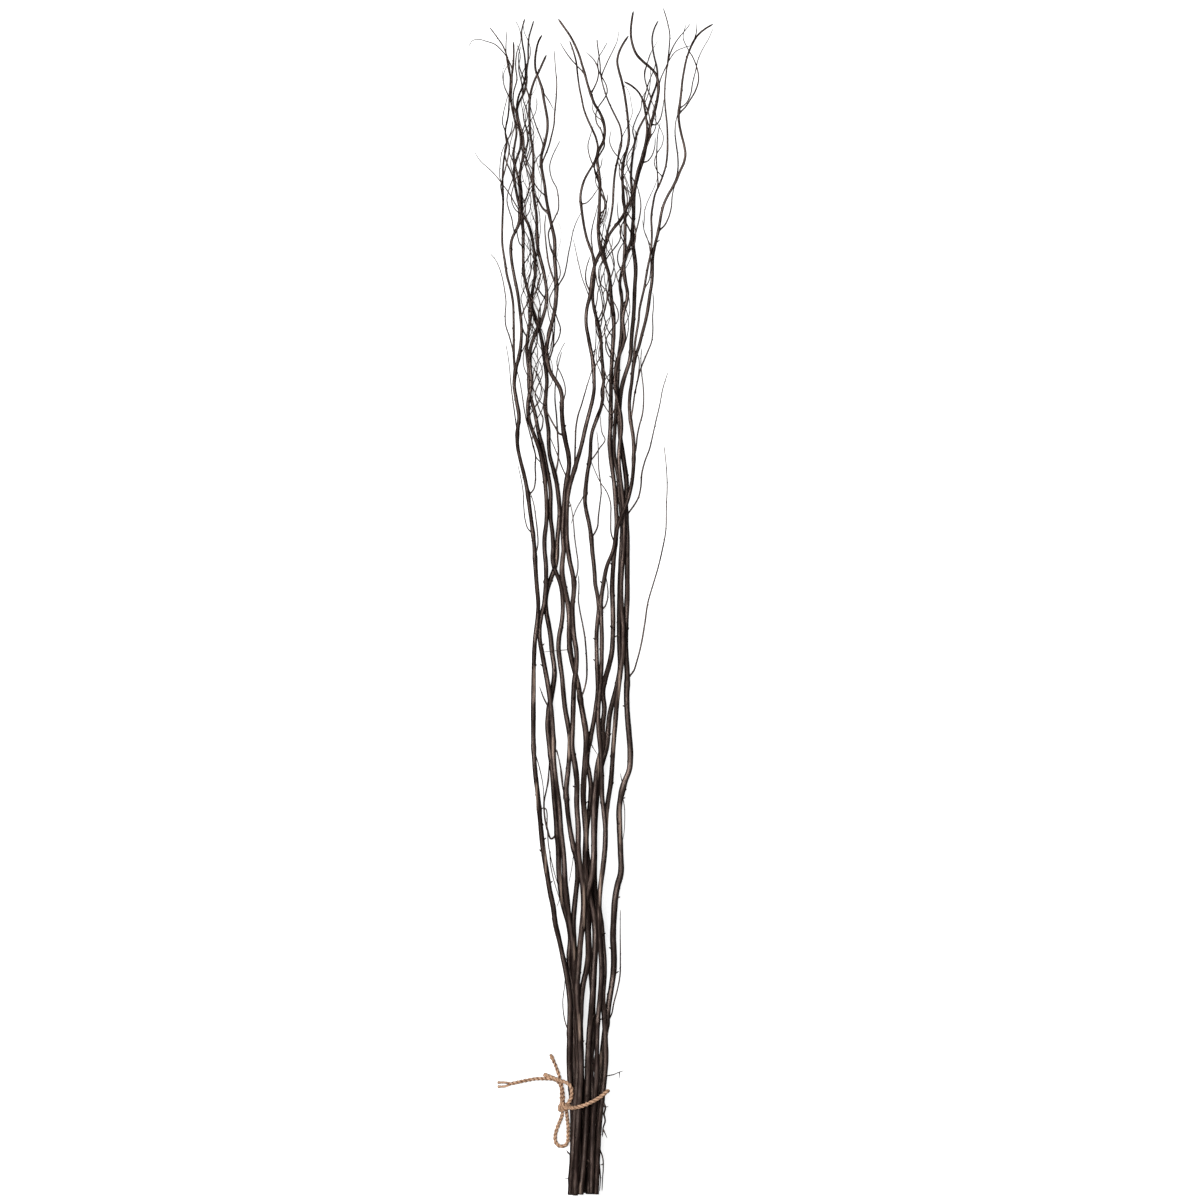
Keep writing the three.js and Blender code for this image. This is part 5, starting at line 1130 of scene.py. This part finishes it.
# buds sit close to the stem, and a spur is what is left of a snapped twiglet
budPlan = {
    "sides": 8, "rings": 6, "slim": 0.75, "slimPower": 1.6, "hook": 0.25, "lean": (12, 26),
    "long": (1.7, 2.4), "turn": 2.4, "turnBy": 0.3, "wide": (0.85, 1.2), "flat": 0.8, "widest": 1.0,
    "share": 0.28, "least": 0.28, "seated": 0.9, "lift": 0.35, "tone": 0.8, "clearTip": 3,
}
spurPlan = {
    "sides": 8, "foot": 1.25, "slim": 0.5, "slant": 0.25, "lean": (40, 65), "long": (2.2, 4.2), "odds": 0.16,
}
# nubs placed one by one: place, and the side that each stands on
nubPlan = {
    "wide": 0.95, "long": 2.0, "lift": 0.3, "side": (0.95, 0.3), "axis": (0.55, 0.84),
    "places": [
        (-56.5, 446, -1), (-28, 494, 1), (35, 374, -1), (41, 497, -1), (50, 612, 1), (20.5, 766, 1),
        (-34, 512, 1), (-9, 512, 1), (-3, 490, -1), (-49, 690, -1), (6, 668, 1), (31, 700, -1),
        (-62, 388, -1), (34, 310, 1),
    ],
}


def budShape(plan, x, y, z):
    high = max(0, z)
    slim = 1 - plan["slim"] * high ** plan["slimPower"]
    return x * slim, y * slim + plan["hook"] * high ** 2, z


def spurShape(plan, x, y, z):
    slim = plan["foot"] - plan["slim"] * (z + 1) / 2
    return x * slim, y * slim, z + plan["slant"] * x * (z > 0)


budModel = modelOf(
    lambda: bpy.ops.mesh.primitive_uv_sphere_add(
        segments=budPlan["sides"], ring_count=budPlan["rings"], radius=1),
    budShape, budPlan)
spurModel = modelOf(
    lambda: bpy.ops.mesh.primitive_cylinder_add(
        vertices=spurPlan["sides"], radius=1, depth=2, end_fill_type="NGON"),
    spurShape, spurPlan)


# a bud or spur that leaves the strand at ring i towards out: wide, deep and long are its half sizes
def seatAt(line, i, at, out, axis, wide, deep, long, lift):
    grain = line["grain"]
    side = np.cross(line["frames"][-1][i], out)
    axes = np.array([side * wide, -np.cross(side, axis) * deep, axis * long]) * mm
    origin = inRow(line["centres"][i] + out * line["size"][i] * budPlan["seated"] + axis * long * lift)
    return origin, axes, np.array(grain["shift"]) + (0, 0, at * mm), grain["tone"] * budPlan["tone"]


def budsOn(line, kind, rnd, trunk):
    across, up, along = line["frames"]
    s, size, plan = line["s"], line["size"], budPlan
    buds, spurs = [], []
    every = kind["budEvery"]
    at, angle = rnd.uniform(*every), rnd.uniform(0, 6)
    while at < s[-1] - plan["clearTip"]:
        i = int(np.searchsorted(s, at))
        angle += plan["turn"] + rnd.uniform(-plan["turnBy"], plan["turnBy"])
        out = math.cos(angle) * across[i] + math.sin(angle) * up[i]
        broken = trunk and rnd.random() < spurPlan["odds"]
        form = spurPlan if broken else plan
        lean = math.radians(rnd.uniform(*form["lean"]))
        axis = along[i] * math.cos(lean) + out * math.sin(lean)
        wide = min(plan["widest"], plan["share"] * size[i] + plan["least"]) * rnd.uniform(*plan["wide"])
        long = wide * rnd.uniform(*form["long"])
        seat = seatAt(line, i, at, out, axis, wide, wide * plan["flat"], long, plan["lift"])
        (spurs if broken else buds).append(seat)
        at += rnd.uniform(*every)
    return buds, spurs


def nubsOn(name, line, plan):
    across, up, along = line["frames"]
    s, centres = line["s"], line["centres"]
    nubs = []
    for x, y, side in plan["places"]:
        if ownerOf(x, y) != name:
            continue
        i = int(np.hypot(centres[:, 0] - x, centres[:, 1] - y).argmin())
        sideways, upwards = plan["side"]
        out = side * across[i] * sideways + up[i] * upwards
        out /= np.linalg.norm(out)
        forward, outward = plan["axis"]
        axis = along[i] * forward + out * outward
        nubs.append(seatAt(line, i, s[i], out, axis, plan["wide"], plan["wide"], plan["long"], plan["lift"]))
    return nubs


# stems: swollen forks, grooved bark, a cut butt and a closed tip
stemLook = {
    "trunk": {"sides": 22, "step": 2.2, "budEvery": (26, 52), "tone": (0.35, 1.0)},
    "twig": {"sides": 9, "step": 1.8, "budEvery": (14, 26), "tone": (0.75, 1.0)},
    "fork": 0.16, "forkReach": 5.5, "flare": 0.9, "flareReach": (2.2, 1.2), "tipEnd": (0.8, 0.35),
    "cap": (0.06, 0.35, 0.68, 0.93), "capOut": 0.35, "capSunk": 0.3, "twist": 6,
    "shift": (0.31, 0.17, 0.23), "seeds": (1.37, 0.61),
    # depth, furrows round the stem, how far and how fast they wander, and two shares of the seed
    "wrinkles": [
        (0.022, 4, 1.7, 0.023, 1, 1), (0.017, 7, 2.3, 0.041, 2.1, 1.3), (0.035, 2, 1.2, 0.031, 1, 0.7)],
    # depth, pace along the stem, and share of the seed
    "lumps": [(0.028, 0.071, 1), (0.02, 0.163, 2), (0.012, 0.39, 3)],
}


def wrinkles(look, theta, s, seed):
    return sum(
        deep * np.sin(count * theta + wander * np.sin(s * pace + early * seed) + late * seed)
        for deep, count, wander, pace, early, late in look["wrinkles"])


def lumps(look, s, seed):
    return sum(deep * np.sin(s * pace + share * seed) for deep, pace, share in look["lumps"])


# repeats the first row ahead of the others, for the rings of the cut end
def led(rows, count):
    return np.concatenate([np.repeat(rows[:1], count, 0), rows])


def strandOf(name, rings, look, seed, trunk, forks):
    kind = look["trunk" if trunk else "twig"]
    fine = smoothLine(rings[:, :sAt], kind["step"])
    centres, r = fine[:, :3], fine[:, 3]
    s = lengthsOf(centres)
    across, up, along = framesAlong(centres)
    theta = roundAngles(kind["sides"])
    size = r * (1 + lumps(look, s, seed))
    if trunk:
        for fork in forks:
            gap = np.linalg.norm(centres - fork, axis=1)
            size = size * (1 + look["fork"] * np.exp(-(gap / look["forkReach"]) ** 2))
    else:
        share, least = look["flareReach"]
        size = size * (1 + look["flare"] * np.exp(-(s / (share * r[0] + least)) ** 2))
    radii = size[:, None] * (1 + wrinkles(look, theta[None], s[:, None], seed))
    radii[-2:] *= np.array(look["tipEnd"])[:, None]
    capRows = 0
    if trunk:
        cap = np.array(look["cap"])
        capRows = len(cap)
        radii = np.vstack([cap[:, None] * radii[:1], radii])
        centres = np.vstack([np.repeat(centres[:1], capRows, 0) - along[:1] * look["capOut"], centres])
        centres[0] += along[0] * look["capSunk"]
        s = np.concatenate([np.zeros(capRows), s])
        across, up, along = led(across, capRows), led(up, capRows), led(along, capRows)
        size = np.concatenate([cap * size[0], size])
    rnd = random.Random(int(seed * 1000))
    grain = {
        "girth": size * mm, "along": s * mm, "twist": rnd.uniform(-look["twist"], look["twist"]),
        "shift": tuple(seed * share for share in look["shift"]), "tone": rnd.uniform(*kind["tone"]),
        # painted highlight streaks, on trunks only
        "paintedHighlights": [streak for streak, owner in paintedHighlightOwners.items() if trunk and "willow_" + owner == name],
    }
    frames = (across, up, along)
    strand = wrapGrid(name, inRow(centres), radii * mm, grain, kind["sides"], frames, capRows)
    strand.data.materials.append(bark)
    if trunk:
        strand.data.materials.append(cutWood)
    return strand, {"centres": centres, "frames": frames, "size": size, "s": s, "grain": grain}


def makeStem(name, strands, number, look):
    rnd = random.Random(number)
    piece = "willow_" + name
    forks = [strand[0, :3] for strand in strands[1:]]
    parts, buds, spurs = [], [], []
    for k, rings in enumerate(strands):
        trunk = k == 0
        stemSeed, twigSeed = look["seeds"]
        strand, line = strandOf(piece, rings, look, number * stemSeed + k * twigSeed, trunk, forks)
        parts.append(strand)
        newBuds, newSpurs = budsOn(line, look["trunk" if trunk else "twig"], rnd, trunk)
        buds += newBuds
        spurs += newSpurs
        if trunk:
            spurs += nubsOn(name, line, nubPlan)
    if buds:
        parts.append(copiesOf(piece + "_buds", budModel, buds, bark))
    if spurs:
        parts.append(copiesOf(piece + "_spurs", spurModel, spurs, bark))
    whole = joinUp(piece, parts)
    settleIn(whole, name)
    return len(whole.data.polygons)


faces = [
    makeStem(name, strands, number, stemLook) for number, (name, strands) in enumerate(bunch.items(), 1)]
print("stems made:", sum(faces), "faces")


# room: pale floor and soft studio light
roomPlan = {
    "wide": 40, "floor": (0.62, 0.62, 0.62, 1), "rough": 0.9, "gloss": 0.1, "lift": 0.72, "drop": 0.0008,
    "lights": {
        "key": {"at": (-2.0, 0.3, 4.2), "size": (0.8, 4.5), "power": 210},
        "fill": {"at": (2.4, -0.8, 3.6), "size": (1.6, 2.4), "power": 14},
    },
    "world": 0.50, "sky": [(0, 0.12), (0.12, 0.45), (0.8, 1)],
}


def makeFloor(plan):
    bpy.ops.mesh.primitive_plane_add(size=plan["wide"], location=(0, 0, -plan["drop"]))
    floor = bpy.context.object
    floor.name = "floor"
    material, _, shader = shaderOf("pale_floor")
    shader.inputs["Base Color"].default_value = plan["floor"]
    shader.inputs["Roughness"].default_value = plan["rough"]
    shader.inputs["Specular IOR Level"].default_value = plan["gloss"]
    shader.inputs["Emission Color"].default_value = (1, 1, 1, 1)
    shader.inputs["Emission Strength"].default_value = plan["lift"]
    floor.data.materials.append(material)
    floor.visible_glossy = False
    floor.visible_diffuse = False


def makeLights(lights):
    for name, lamp in lights.items():
        bpy.ops.object.light_add(type="AREA", location=lamp["at"])
        light = bpy.context.object
        light.name = name
        light.data.shape = "RECTANGLE"
        light.data.size, light.data.size_y = lamp["size"]
        light.data.energy = lamp["power"]
        light.rotation_euler = (-light.location).to_track_quat("-Z", "Y").to_euler()
        light.visible_camera = False


def makeSky(plan):
    world = bpy.data.worlds.new("studio")
    bpy.context.scene.world = world
    world.use_nodes = True
    tree = world.node_tree
    sky = tree.nodes["Background"]
    way = tree.nodes.new("ShaderNodeSeparateXYZ")
    tree.links.new(tree.nodes.new("ShaderNodeTexCoord").outputs["Generated"], way.inputs["Vector"])
    tree.links.new(rampOf(tree, way.outputs["Z"], plan["sky"]), sky.inputs["Color"])
    sky.inputs["Strength"].default_value = plan["world"]
    world.cycles_visibility.glossy = False


makeFloor(roomPlan)
makeLights(roomPlan["lights"])
makeSky(roomPlan)
print("room made")
